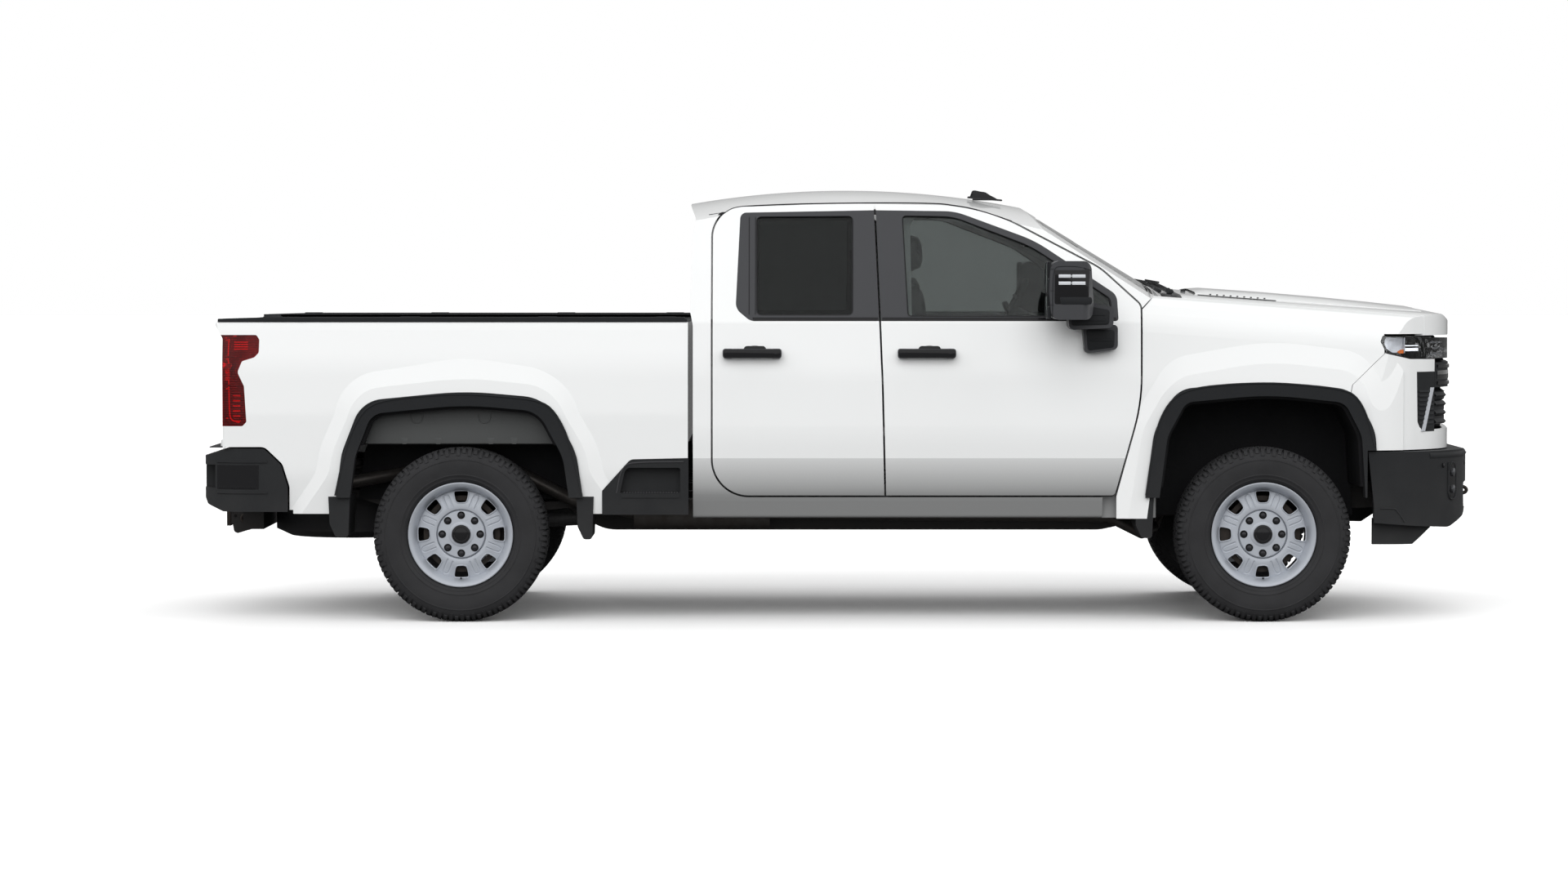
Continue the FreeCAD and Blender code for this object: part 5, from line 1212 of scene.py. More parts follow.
@pair(CAB_TRIM, "seal")
def door_top_seal(bm):
    """Dark line along the gap between the doors' top edge and the roof."""
    line = [(-580, 1914), (-560, 1932), (-520, 1954), (-450, 1962), (-200, 1972), (100, 1976), (300, 1976),
            (450, 1973), (500, 1968), (650, 1944), (800, 1888)]
    add_tube(bm, [(x, cab_side_y(z) + 3, z + 4.5) for x, z in line], 3.2, 8)


@piece(CAB_TRIM, "shade_band")
def shade_band(bm):
    """Tinted band along the top of the windshield."""
    add_ribbon(bm, [[top_point("cab_glass", x, y, 1.5) for y in spread(-636, 636, 17)]
                    for x in spread(962, 1125, 5)], 1)


class TRUCK_OT_cab_trim(Step, Operator):
    """Build wipers, cowl slots, hood dome and vents, antenna, mouldings and arch panels"""
    bl_idname = "truck.cab_trim"
    bl_label = "Cab trim"
    pieces = CAB_TRIM


# Front end

FRONT_END = []
BUMPER, FASCIA = "front_bumper", "front_fascia"
FRONT_FLARE = [(1424, 600), (1458, 860), (1500, 990), (1560, 1070), (1650, 1106), (1800, 1123), (2000, 1131),
               (2200, 1118), (2360, 1098), (2420, 1060), (2470, 960), (2500, 830)]
REAR_FLARE = [(-2396, 600), (-2352, 820), (-2290, 960), (-2240, 1020), (-2160, 1050), (-1980, 1070), (-1789, 1080),
              (-1600, 1066), (-1440, 1050), (-1360, 1000), (-1280, 830), (-1236, 600)]
BUTTON = [(12, -3), (12, 2), (10, 3.5), (0.01, 4), (0.01, -3)]


def nose_x(y):
    """Front face of the grille's crossbar, whose curve the whole nose follows."""
    return front_point("grille", max(-785.0, min(785.0, y)), 1180)[0]


def add_blade(bm, z, ends, section, count=33, thickness=2.5):
    """Blade across the nose, its section given as (distance behind the crossbar, height) in millimetres."""
    add_ribbon(bm, [[(nose_x(y) - back, y, z + dz) for y in spread(*ends, count)] for back, dz in section],
               thickness)


@piece(FRONT_END, "plastic")
def grille_blades(bm):
    """Curved blades across the lower and upper openings."""
    for z in (952, 984, 1016, 1048, 1080):
        add_blade(bm, z, (-770, 770), ((62, -5), (24, -9), (15, 0), (24, 6), (62, 3)))
    for z in (1234, 1252, 1288, 1306):
        add_blade(bm, z, (-570, 570), ((62, -4), (26, -7), (20, 0), (26, 5), (62, 2)), 25)


def corner_left(z):
    """Rear edge of the dark recess in the fascia's corner, at a height."""
    return 2752 - (z - 896) * 0.9 if z < 930 else 2721 - (z - 930) * 0.02


@pair(FRONT_END, "plastic", smooth=50)
def grille_corner(bm):
    """Dark recess that carries the grille round the fascia's corner."""
    levels = [(z, 1.5, corner_left(z), 2813.8) for z in spread(896, 1180, 13)]
    add_strip(bm, side_point, FASCIA, None, 9, levels, 2)
    for z in spread(930, 1080, 8):
        add_strip(bm, side_point, FASCIA, (2728, 2808), 7, ((z, 1), (z + 3, 7), (z + 10, 5), (z + 13, 1)), 2)


@pair(FRONT_END, "plastic")
def grille_teeth(bm):
    """Toothed ends of the grille's blades, seen from the side."""
    for z in (924, 966, 1008, 1050):
        add_blade(bm, z, (-797, -640), ((60, 0), (12, 4), (2, 14), (16, 30), (60, 34)), 9, 2)


@piece(FRONT_END, "gloss", smooth=50)
def crossbar_trim(bm):
    """Raised bar across the grille with a groove along it."""
    for z0, z1, lift in ((1113, 1134, 7), (1192, 1213, 7), (1142, 1184, 3)):
        rise = z1 - z0
        add_blade(bm, z0, (-785, 785), ((0.5, 0), (-lift, 3), (-lift, rise - 3), (0.5, rise)), 33, 2)


@pair(FRONT_END, "silver")
def grille_strip(bm):
    """Bright strip slanting across the grille's corner."""
    add_ribbon(bm, [[side_point(FASCIA, 2752 + 50 * share + offset, 898 + 206 * share, 8)
                     for share in spread(0, 1, 9)] for offset in (-9, -3, 3, 9)], 4)


@piece(FRONT_END, "plastic", smooth=50)
def bumper_top_edge(bm):
    levels = ((770, 1.0), (775, 5.0), (795, 3.0), (801, -6.0))
    add_strip(bm, front_point, BUMPER, (-930, 930), 63, levels, 3)


@pair(FRONT_END, "plastic")
def bumper_panel_line(bm):
    """Raised edge of the bumper's lower corner panel."""
    add_skin_tube(bm, side_point, BUMPER, ((2530, 538), (2590, 538), (2606, 534), (2647, 473)), 0.5, 3.5, 8)


@pair(FRONT_END, "gloss")
def bumper_slot(bm):
    """Upright lamp slot near the bumper's corner."""
    levels = ((584, 3, -816, -784), (604, 3, -826, -774), (680, 3, -828, -772), (742, 3, -828, -772))
    add_strip(bm, front_point, BUMPER, None, 5, levels, 3)


@pair(FRONT_END, "plastic")
def bumper_slot_frame(bm):
    loop = ((-832, 748), (-832, 600), (-822, 576), (-800, 568), (-778, 576), (-768, 600), (-768, 748), (-832, 748),
            (-832, 600))
    add_skin_tube(bm, front_point, BUMPER, loop, 3, 4.0)


@pair(FRONT_END, "lamp_silver")
def fog_lamp(bm):
    for z in (620, 700):
        add_spun(bm, [(20, -4), (20, 5), (16, 7), (0.01, 9), (0.01, -4)], 28, front_point(BUMPER, -800, z, 5),
                 (1, -0.5, 0))


@pair(FRONT_END, "iron")
def tow_hook(bm):
    """Recovery hook standing out of the bumper's opening."""
    y = -452
    add_tube(bm, [(2950, y, 616), (3004, y, 616), (3022, y, 606), (3024, y, 592), (3008, y, 580), (2950, y, 580)],
             9, 12)
    add_box(bm, (2936, y - 26, 566), (2956, y + 26, 630), 5)


@piece(FRONT_END, "plastic")
def intake_mesh(bm):
    """Crossed slats in the bumper's opening."""
    for z in spread(530, 632, 7):
        x = 2985 - (632 - z) * 0.22
        add_box(bm, (x - 26, -555, z - 3), (x - 6, 555, z + 3), 1)
    for y in spread(-520, 520, 27):
        add_box(bm, (2948, y - 2.5, 524), (2960, y + 2.5, 640), 1)


@piece(FRONT_END, "plastic")
def plate_bracket(bm):
    add_prism(bm, "yz", rectangle(-158, 652, 158, 762), 8, 3046, 3054.8, 2)
    for y in (-120, 120):
        add_rod(bm, (3050, y, 735), (3054.9, y, 735), 6, 16, 1)


@piece(FRONT_END, "gloss")
def parking_sensors(bm):
    for y in (-860, -520, 520, 860):
        add_spun(bm, BUTTON, 24, front_point(BUMPER, y, 735), AHEAD)


# Rear end

REAR_END = []
REAR = "rear_bumper"


@piece(REAR_END, "trim")
def rear_step_tread(bm):
    """Ribbed tread on top of the rear bumper."""
    for y in spread(-860, 860, 87):
        add_box(bm, (-3010, y - 5, 819), (-2935, y + 5, 825), 1.5, 1)


@pair(REAR_END, "gloss")
def rear_corner_step(bm):
    """Dark recess in the bumper's corner with a ribbed foothold."""
    levels = ((628, 1.2), (660, 1.2), (710, 1.2), (742, 1.2))
    add_strip(bm, side_point, REAR, (-2962, -2760), 15, levels, 2)
    for x in spread(-2950, -2780, 15):
        y = side_point(REAR, x, 634)[1]
        add_box(bm, (x - 3, y - 3, 630), (x + 3, y + 4, 641), 1, 1)


@pair(REAR_END, "plastic", smooth=50)
def rear_bumper_bands(bm):
    """Raised bands that frame the rear bumper's corner."""
    for z in (752, 606):
        levels = ((z, 0.5), (z + 2, 5), (z + 8, 5), (z + 10, 0.5))
        add_strip(bm, side_point, REAR, (-2962, -2720), 15, levels, 2)


@piece(REAR_END, "chrome")
def rear_plate(bm):
    add_prism(bm, "yz", rectangle(-152, 606, 152, 752), 10, -3029, -3024, 1.5)


@piece(REAR_END, "plastic")
def rear_plate_fittings(bm):
    for y in (-110, 110):
        for z in (620, 738):
            add_rod(bm, (-3027, y, z), (-3032, y, z), 5, 14)
    for y in (-166, 166):
        add_box(bm, (-3040, y - 8, 712), (-3022, y + 8, 740), 4)


@piece(REAR_END, "gloss")
def rear_sensors(bm):
    for y in (-640, -300, 300, 640):
        add_spun(bm, BUTTON, 24, rear_point(REAR, y, 690, -1), BEHIND)


@piece(REAR_END, "iron")
def hitch_fittings(bm):
    """Wiring socket, chain loops and the collar of the receiver."""
    add_box(bm, (-2960, 205, 470), (-2895, 275, 516), 8, 3)
    add_rod(bm, (-2958, 240, 493), (-2968, 240, 493), 20, 28, 2)
    for y in (-92, 92):
        add_tube(bm, [(-2905, y, 470), (-2950, y, 460), (-2956, y, 430), (-2930, y, 412), (-2900, y, 430)], 7, 8)
    for y0, y1, z0, z1 in ((-46, 46, 494, 501), (-46, 46, 399, 406), (-46, -39, 406, 494), (39, 46, 406, 494)):
        add_box(bm, (-3032, y0, z0), (-3012, y1, z1), 2)


@piece(REAR_END, "paint", "tailgate", 50)
def tailgate_frame(bm):
    """Pressed frame lines of the tailgate's outer face."""
    for half, z0, z1 in ((700, 905, 1235), (660, 940, 1205)):
        loop = round_outline(rectangle(-half, z0, half, z1), 45, 4)
        add_skin_tube(bm, rear_point, "tailgate", loop + loop[:2], 0.5, 4.0)


@piece(REAR_END, "gloss", "tailgate")
def tailgate_handle(bm):
    x = rear_point("tailgate", 0, 1240)[0]
    add_prism(bm, "yz", rectangle(-158, 1262, 158, 1346), 16, x - 3, x + 4, 2)
    add_prism(bm, "yz", rectangle(-112, 1284, 112, 1324), 14, x - 9, x - 1, 4)
    add_rod(bm, (x - 8, 0, 1272), (x - 14, 0, 1272), 9, 24, 1)
    add_spun(bm, [(12, 0), (12, 5), (9, 7), (0.01, 7.5), (0.01, 0)], 24, (x - 8, 70, 1334), BEHIND)


@piece(REAR_END, "plastic", "tailgate")
def tailgate_cap(bm):
    add_box(bm, (-2968, -790, 1409), (-2888, 790, 1417), 3)
    for x in (-2950, -2928, -2906):
        add_box(bm, (x - 4, -780, 1416), (x + 4, 780, 1419), 1, 1)


@pair(REAR_END, "plastic")
def rail_covers(bm):
    """Stake pocket covers and caps on the bed's rails."""
    for x in (-2700, -2050, -1400, -840):
        add_prism(bm, "xy", rectangle(x - 45, -944, x + 45, -906), 8, 1438, 1442, 1.5)
    cap = [(-2935, 1426), (-2935, 1433), (-2700, 1440), (-752, 1440), (-752, 1426)]
    add_prism(bm, "xz", cap, 0, -951, -900, 3)
    add_box(bm, (-2868, -899, 1392), (-750, -893, 1432), 2, 1)


def bed_wall_y(x):
    """Inner face of the right bed wall, at the height of the tie-down loops."""
    return on_skin("bed_sides bed_floor", (x, 0, 1180), (0, -1, 0))[1]


@pair(REAR_END, "iron")
def bed_hooks(bm):
    """Tie-down loops on the bed's inner walls."""
    for x in (-2800, -2380, -1250, -830):
        y = bed_wall_y(x)
        add_box(bm, (x - 22, y - 1, 1164), (x + 22, y + 4, 1196), 2)
        add_tube(bm, [(x - 14, y + 2, 1180), (x - 14, y + 26, 1180), (x + 14, y + 26, 1180), (x + 14, y + 2, 1180)],
                 4)


@pair(REAR_END, "paint", smooth=50)
def bed_wall_ribs(bm):
    """Pressed ribs of the bed's inner walls, apart from where the wheel boxes are."""
    for x in spread(-2780, -860, 17):
        if not -2400 < x < -1180:
            y = bed_wall_y(x)
            add_box(bm, (x - 24, y - 2, 930), (x + 24, y + 4, 1340), 3)


@pair(REAR_END, "trim")
def step_pad(bm):
    """Ribbed foothold in the step ahead of the rear wheel, with a raised lip round its opening."""
    for x in spread(-1036, -786, 20):
        add_box(bm, (x - 3.5, -1011, 609), (x + 3.5, -948, 615), 1.2, 1)
    lip = ((-1072, 610), (-1060, 690), (-1036, 738), (-1010, 752), (-900, 758), (-756, 758))
    add_tube(bm, [(x, -1008, z) for x, z in lip], 4)


@pair(REAR_END, "plastic", name="rear_flare_edge", args=(REAR_FLARE,))
@pair(FRONT_END, "plastic", name="front_flare_edge", args=(FRONT_FLARE,))
def flare_edge(bm, points):
    """Rolled outer lip along an arch moulding."""
    add_tube(bm, [(x, -1034, z) for x, z in points], 5.5, 8)


class TRUCK_OT_front_end(Step, Operator):
    """Build grille blades, bumper fittings, tow hooks and plate bracket"""
    bl_idname = "truck.front_end"
    bl_label = "Front end"
    pieces = FRONT_END


class TRUCK_OT_rear_end(Step, Operator):
    """Build the tailgate, bumper, bed and hitch fittings"""
    bl_idname = "truck.rear_end"
    bl_label = "Rear end"
    pieces = REAR_END


# Seats

SEAT_DETAILS = []
SEAT_Y = -400
MIRRORED = (-1, 1)
TUCK = 0.06
PRESSURE = 4.0
SWELL_LIMIT = 0.010
CLOTH_FRAMES = 20


def add_pad(bm, middle, size, crown, lean=0.0):
    """Cushion segment leaning back by degrees: a cube swollen on each face and tucked in between its corners."""
    part = bmesh.new()
    bmesh.ops.create_cube(part, size=2.0)
    bmesh.ops.subdivide_edges(part, edges=part.edges, cuts=6, use_grid_fill=True)
    for vert in part.verts:
        x, y, z = vert.co
        corner = 1.0 - 0.10 * (max(abs(x), abs(y)) ** 6 * abs(z) ** 6 + abs(x * y) ** 6)
        tuck = TUCK * abs(z) ** 4
        vert.co = Vector((x * size[0] * (corner - tuck * (1 - y * y)),
                          y * size[1] * (corner - tuck * (1 - x * x)),
                          z * (size[2] + crown * (1 - x * x) * (1 - y * y)))) * 0.0005
    turn(part, lean)
    bmesh.ops.translate(part, vec=mm(*middle), verts=part.verts)
    absorb(bm, part)


def puffed(build, voxel=0.009):
    """Pads blown up by a short cloth simulation, each point held within SWELL_LIMIT of where it started."""
    bm = bmesh.new()
    build(bm)
    scene = bpy.context.scene
    holder = new_object("pad", bm, 0.00001)
    remesh = holder.modifiers.new("remesh", "REMESH")
    remesh.mode = "VOXEL"
    remesh.voxel_size = voxel
    mesh = evaluated_mesh(holder)
    holder.modifiers.remove(remesh)
    holder.data = mesh
    start = [vert.co.copy() for vert in mesh.vertices]
    cloth = holder.modifiers.new("cloth", "CLOTH")
    cloth.settings.use_pressure = True
    cloth.settings.uniform_pressure_force = PRESSURE
    cloth.settings.effector_weights.gravity = 0.0
    cloth.settings.quality = 4
    cloth.point_cache.frame_start = 1
    cloth.point_cache.frame_end = CLOTH_FRAMES
    for frame_number in range(1, CLOTH_FRAMES + 1):
        scene.frame_set(frame_number)
    blown = evaluated_mesh(holder)
    scene.frame_set(1)
    for vert, origin in zip(blown.vertices, start):
        move = vert.co - origin
        if move.length > SWELL_LIMIT:
            vert.co = origin + move.normalized() * SWELL_LIMIT
    bpy.data.objects.remove(holder)
    bpy.data.meshes.remove(mesh)
    return bmesh_of(blown)


def front_seat_pads(bm):
    """Right front seat: cushion and back of inserts between bolsters."""
    for x, length in ((755, 150), (618, 128), (498, 116)):
        add_pad(bm, (x, SEAT_Y, 1012), (length, 300, 96), 26, 4)
    for side in MIRRORED:
        add_pad(bm, (620, SEAT_Y + side * 200, 1020), (400, 104, 112), 24, 4)
        add_pad(bm, (345, SEAT_Y + side * 196, 1330), (120, 100, 500), 10, -6)
    for z, height in ((1150, 130), (1290, 136), (1430, 136)):
        add_pad(bm, (338 - (z - 1290) * 0.10, SEAT_Y, z), (92, 290, height), 8, -6)
    add_pad(bm, (322, SEAT_Y, 1570), (84, 400, 120), 8, -6)


def front_head_rest(bm):
    add_pad(bm, (332, SEAT_Y, 1742), (92, 268, 150), 12, -4)


def rear_bench_pads(bm):
    """Rear bench: three cushions and three backs, with sewn gaps between."""
    for y, width in ((-470, 452), (0, 464), (470, 452)):
        for x, length in ((-220, 190), (-400, 176)):
            add_pad(bm, (x, y, 1036), (length, width, 92), 22, 3)
        for z, height in ((1190, 150), (1345, 156), (1495, 150)):
            add_pad(bm, (-512 - (z - 1345) * 0.12, y, z), (96, width, height), 8, -7)


@pair(SEAT_DETAILS, "trim")
def seat_hardware(bm):
    """Seat base, side cover, slide rails, belt buckle and head rest posts of the right front seat."""
    base = [(420, 652), (790, 652), (820, 800), (810, 948), (420, 940)]
    add_prism(bm, "xz", base, 40, SEAT_Y - 240, SEAT_Y + 240, 8)
    for side in MIRRORED:
        y = SEAT_Y + side * 190
        add_box(bm, (400, y - 18, 642), (830, y + 18, 664), 4)
        y = SEAT_Y + side * 62
        add_rod(bm, (326, y, 1580), (326, y, 1700), 7, 14)
    cover = [(470, 880), (720, 880), (740, 950), (460, 950)]
    add_prism(bm, "xz", cover, 22, SEAT_Y - 256, SEAT_Y - 240, 5)
    add_box(bm, (430, SEAT_Y + 236, 960), (470, SEAT_Y + 252, 1080), 6)


@pair(SEAT_DETAILS, "seal")
def seat_piping(bm):
    for side in MIRRORED:
        y = SEAT_Y + side * 148
        add_tube(bm, [(450, y, 1066), (620, y, 1074), (780, y, 1068), (838, y, 1030)], 3.0)
        add_tube(bm, [(396, y, 1130), (388, y, 1300), (368, y, 1490)], 3.0)


@piece(SEAT_DETAILS, "trim")
def bench_base(bm):
    base = [(-560, 652), (-180, 652), (-140, 820), (-150, 975), (-560, 975)]
    add_prism(bm, "xz", base, 30, -690, 690, 8)
    add_prism(bm, "xz", [(-600, 1000), (-562, 1000), (-578, 1580), (-604, 1580)], 10, -700, 700, 4)
    for y in (-236, 236):
        add_box(bm, (-440, y - 18, 1040), (-410, y + 18, 1104), 5)


def make_cushion(name, bm, replaced=None):
    cushion = make_piece(name, bm, "cloth", "body", 60)
    if replaced:
        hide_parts(replaced)


class TRUCK_OT_seats(Operator):
    """Build the front seats and the rear bench as stuffed cushions on their bases"""
    bl_idname = "truck.seats"
    bl_label = "Seats"

    def execute(self, context):
        seat, rest = puffed(front_seat_pads), puffed(front_head_rest, 0.007)
        for side in SIDES:
            for name, source, replaced in (("front_seat", seat, "front_seats"), ("front_head_rest", rest, None)):
                bm = source.copy()
                if side == "left":
                    mirror(bm)
                make_cushion("%s_%s" % (name, side), bm, replaced)
        seat.free()
        rest.free()
        make_cushion("rear_bench", puffed(rear_bench_pads), "rear_seat")
        build_pieces(SEAT_DETAILS)
        return {"FINISHED"}


# Cab inside

CAB_INSIDE = []


@piece(CAB_INSIDE, "trim")
def dash_details(bm):
    """Instrument hood, switches, vents, knobs and glove box lid on the dashboard."""
    add_prism(bm, "xz", [(1080, 1400), (1110, 1472), (1180, 1492), (1230, 1476)], 14, 250, 560, 8)
    add_box(bm, (1072, 130, 1240), (1100, 200, 1300), 6)
    for y in (-690, -120, 120, 690):
        add_box(bm, (1066, y - 62, 1352), (1096, y + 62, 1400), 8)
        for z in (1362, 1374, 1386):
            add_box(bm, (1060, y - 54, z), (1068, y + 54, z + 4), 1)
    add_box(bm, (1058, -560, 1080), (1078, -190, 1240), 14)
    add_rod(bm, (1062, -370, 1222), (1054, -370, 1222), 16, 24, 2)
    for y in (-60, 0, 60):
        add_rod(bm, (1066, y, 1150), (1048, y, 1150), 17, 28, 2)
    for y in spread(-72, 72, 5):
        add_box(bm, (1056, y - 10, 1104), (1068, y + 10, 1118), 2)


@piece(CAB_INSIDE, "gloss")
def dash_screens(bm):
    add_prism(bm, "yz", rectangle(-105, 1190, 105, 1345), 10, 1048, 1060, 2)
    add_prism(bm, "yz", rectangle(270, 1385, 540, 1462), 12, 1084, 1092, 2)


@piece(CAB_INSIDE, "plastic")
def console_details(bm):
    """Cup holders, shift lever, arm rest and trays of the centre console."""
    for x in (800, 890):
        add_spun(bm, [(44, 0), (44, 5), (38, 5), (36, -4), (0.01, -4), (0.01, -8), (44, -8)], 32, (x, 0, 1083), UP)
    add_tube(bm, [(985, 60, 1078), (978, 60, 1130), (962, 60, 1168)], 9)
    knob = [(20, 0), (24, 14), (22, 34), (12, 42), (0.01, 43), (0.01, 0)]
    add_spun(bm, knob, 24, (962, 60, 1162), (-0.2, 0, 1))
    add_box(bm, (350, -118, 998), (690, 118, 1052), 18, 3)
    add_box(bm, (1020, -90, 1078), (1078, 90, 1090), 4)


@piece(CAB_INSIDE, "seal")
def pedals(bm):
    for y, x, half in ((300, 1392, 34), (420, 1400, 52), (510, 1385, 44)):
        add_box(bm, (x - 6, y - half, 780), (x + 6, y + half, 870), 5)
        add_tube(bm, [(x + 4, y, 830), (x + 18, y, 930), (1400, y, 1010)], 8)


@piece(CAB_INSIDE, "trim", "steering_wheel")
def steering_details(bm):
    """Hub pad, buttons and column cover of the steering wheel, built flat and then laid onto its axis."""
    add_box(bm, (-72, -52, -4), (72, 62, 22), 16, 3)
    for side in MIRRORED:
        for y in (-16, -2, 12):
            add_box(bm, (side * 96 - 18, y, 9), (side * 96 + 18, y + 9, 13), 2)
        add_tube(bm, [(side * 30, 50, -60), (side * 110, 62, -58), (side * 180, 64, -56)], 7)
    low, high = (Vector(corner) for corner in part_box("steering_wheel"))
    rim = 0.03
    tilt = math.atan2(high.x - low.x - rim, high.z - low.z - rim)
    lay = Matrix.Rotation(-tilt - math.pi / 2, 4, "Y") @ Matrix.Rotation(-math.pi / 2, 4, "Z")
    bmesh.ops.transform(bm, matrix=Matrix.Translation((low + high) / 2) @ lay, verts=bm.verts)


@piece(CAB_INSIDE, "plastic")
def rear_view_mirror(bm):
    outline = [(-130, 1772), (130, 1772), (136, 1822), (120, 1844), (-120, 1844), (-136, 1822)]
    add_prism(bm, "yz", outline, 16, 896, 918, 8, 3)
    add_tube(bm, [(914, 0, 1812), (936, 0, 1838), (958, 0, 1846)], 9)


@piece(CAB_INSIDE, "trim")
def sun_visors(bm):
    for y in (-390, 390):
        add_box(bm, (700, y - 200, 1880), (862, y + 200, 1896), 7, 3, 8)


@pair(CAB_INSIDE, "seal")
def seat_belts(bm):
    """Belt webbing from the pillar down to its anchor."""
    for top_x, foot_x, foot_z in ((86, 210, 640), (-560, -500, 1000)):
        line = [(top_x + (foot_x - top_x) * share * 0.3, -742 - 120 * math.sin(share * 1.5),
                 1720 + (foot_z - 1720) * share) for share in spread(0, 1, 7)]
        add_ribbon(bm, [[(x + dx, y, z) for x, y, z in line] for dx in (-24, 24)], 2)
        add_box(bm, (top_x - 30, -752, 1712), (top_x + 30, -736, 1760), 6)


class TRUCK_OT_cab_inside(Step, Operator):
    """Build dashboard, console, pedal, mirror, visor and belt details"""
    bl_idname = "truck.cab_inside"
    bl_label = "Cab inside"
    pieces = CAB_INSIDE


# Underbody

UNDERBODY = []


def on_circle(a, b, radius, degrees):
    angle = math.radians(degrees)
    return a + radius * math.cos(angle), b + radius * math.sin(angle)


@pair(UNDERBODY, "chassis")
def front_spring(bm):
    """Coil spring of seven turns between its two seats."""
    x, y, foot, height = 1949, -498, 500, 270
    points = 7 * 12
    coil = [(*on_circle(x, y, 50, 30 * index), foot + height * index / points) for index in range(points + 1)]
    add_tube(bm, coil, 8, 8)
    add_spun(bm, [(60, 0), (60, 10), (20, 14), (20, 0)], 32, (x, y, 488), UP)
    add_spun(bm, [(62, 0), (62, 14), (18, 20), (18, 0)], 32, (x, y, 768), UP)


@pair(UNDERBODY, "chassis")
def dampers(bm):
    """Front and rear shock absorbers."""
    for start, middle, end in (((2040, -500, 470), (2052, -500, 620), (2062, -500, 740)),
                               ((-1700, -500, 440), (-1620, -480, 580), (-1580, -470, 700))):
        add_rod(bm, start, middle, 30, 24, 3)
        add_rod(bm, middle, end, 22, 24, 3)
        x, y, z = end
        add_rod(bm, (x, y - 24, z), (x, y + 24, z), 14, 18, 2)


@pair(UNDERBODY, "iron")
def spring_clamps(bm):
    """Clamps of the rear leaf springs at the axle."""
    for x in (-1850, -1736):
        for y in (-545, -455):
            add_rod(bm, (x, y, 470), (x, y, 660), 8, 12)
            add_rod(bm, (x, y, 470), (x, y, 484), 14, 6)
    add_box(bm, (-1870, -560, 652), (-1716, -440, 668), 4)


@piece(UNDERBODY, "iron")
def axle_cover(bm):
    """Cover plate with bolts on the rear axle, and brake lines."""
    add_spun(bm, [(118, 0), (118, 14), (96, 34), (40, 52), (0.01, 54), (0.01, 0)], 40, (-1940, 0, 412), BEHIND)
    for index in range(10):
        y, z = on_circle(0, 412, 106, 36 * index)
        add_rod(bm, (-1952, y, z), (-1962, y, z), 8, 6)
    for side in MIRRORED:
        add_tube(bm, [(-1800, side * 120, 500), (-1802, side * 300, 496), (-1800, side * 620, 492)], 4)


@piece(UNDERBODY, "steel")
def tank_straps(bm):
    for x in (-700, -250, 60):
        add_box(bm, (x - 22, 424, 414), (x + 22, 766, 421), 2)
        for y in (424, 764):
            add_box(bm, (x - 22, y - 3, 414), (x + 22, y + 3, 596), 2)


@pair(UNDERBODY, "chassis")
def rail_mounts(bm):
    """Cab and bed mounts, and lines clipped along the frame rail."""
    for x in (1350, 640, -560, -1000, -1420, -2350, -2750):
        add_box(bm, (x - 45, -500, 700), (x + 45, -425, 716), 5)
        add_spun(bm, [(38, 0), (42, 12), (38, 26), (16, 30), (0.01, 30), (0.01, 0)], 24, (x, -470, 716), UP)
    for rise in (0, 16):
        add_tube(bm, [(1300, -436, 640 + rise), (600, -437, 636 + rise), (-400, -437, 636 + rise),
                      (-1300, -437, 640 + rise)], 4.5)
    for x in spread(1200, -1200, 9):
        add_box(bm, (x - 9, -444, 628), (x + 9, -430, 664), 3)


def band(centre, inner, outer, start, end):
    """Outline between two arcs round a wheel's centre, from start to end in degrees."""
    return [on_circle(centre.x, centre.z, inner, angle) for angle in spread(start, end, 9)] + [
        on_circle(centre.x, centre.z, outer, angle) for angle in spread(end, start, 9)]


@pair(UNDERBODY, "iron", "knuckle_%s")
def caliper_front(bm):
    """Brake caliper: two cheeks and the bridge over the disc."""
    centre = wheel_middle("front_right") * 1000
    for low in (11, -38):
        add_prism(bm, "xz", band(centre, 150, 192, 148, 212), 0, centre.y + low, centre.y + low + 7, 3)
    add_prism(bm, "xz", band(centre, 188, 200, 150, 210), 0, centre.y - 38, centre.y + 18, 3)


def disc_vane(bm):
    add_box(bm, (159, 5, -2), (180, 15, 2), 0.5, 1)


@on_wheels(UNDERBODY, "iron")
def brake_disc(bm):
    """Vented friction ring of the brake, in the wheel's own frame."""
    for low, high in ((-4, 6), (14, 24)):
        add_spun(bm, [(158, low), (181, low), (181, high), (158, high)], 96)
    add_around(bm, disc_vane, 48)


class TRUCK_OT_underbody(Step, Operator):
    """Build springs, dampers, clamps, straps and lines below the body"""
    bl_idname = "truck.underbody"
    bl_label = "Underbody"
    pieces = UNDERBODY


# Engine bay

ENGINE_BAY = []


@piece(ENGINE_BAY, "plastic")
def engine_cover(bm):
    """Ribbed cover, filler cap and intake duct on top of the engine block."""
    add_box(bm, (1600, -190, 1326), (2200, 190, 1350), 12, 3)
    for y in spread(-150, 150, 7):
        add_box(bm, (1640, y - 8, 1346), (2160, y + 8, 1354), 3)
    add_tube(bm, [(2240, 60, 1290), (2340, 120, 1310), (2400, 300, 1290), (2340, 430, 1270)], 42, 16)
    add_spun(bm, [(26, 0), (26, 14), (20, 18), (0.01, 18), (0.01, 0)], 24, (1720, 0, 1352), UP)


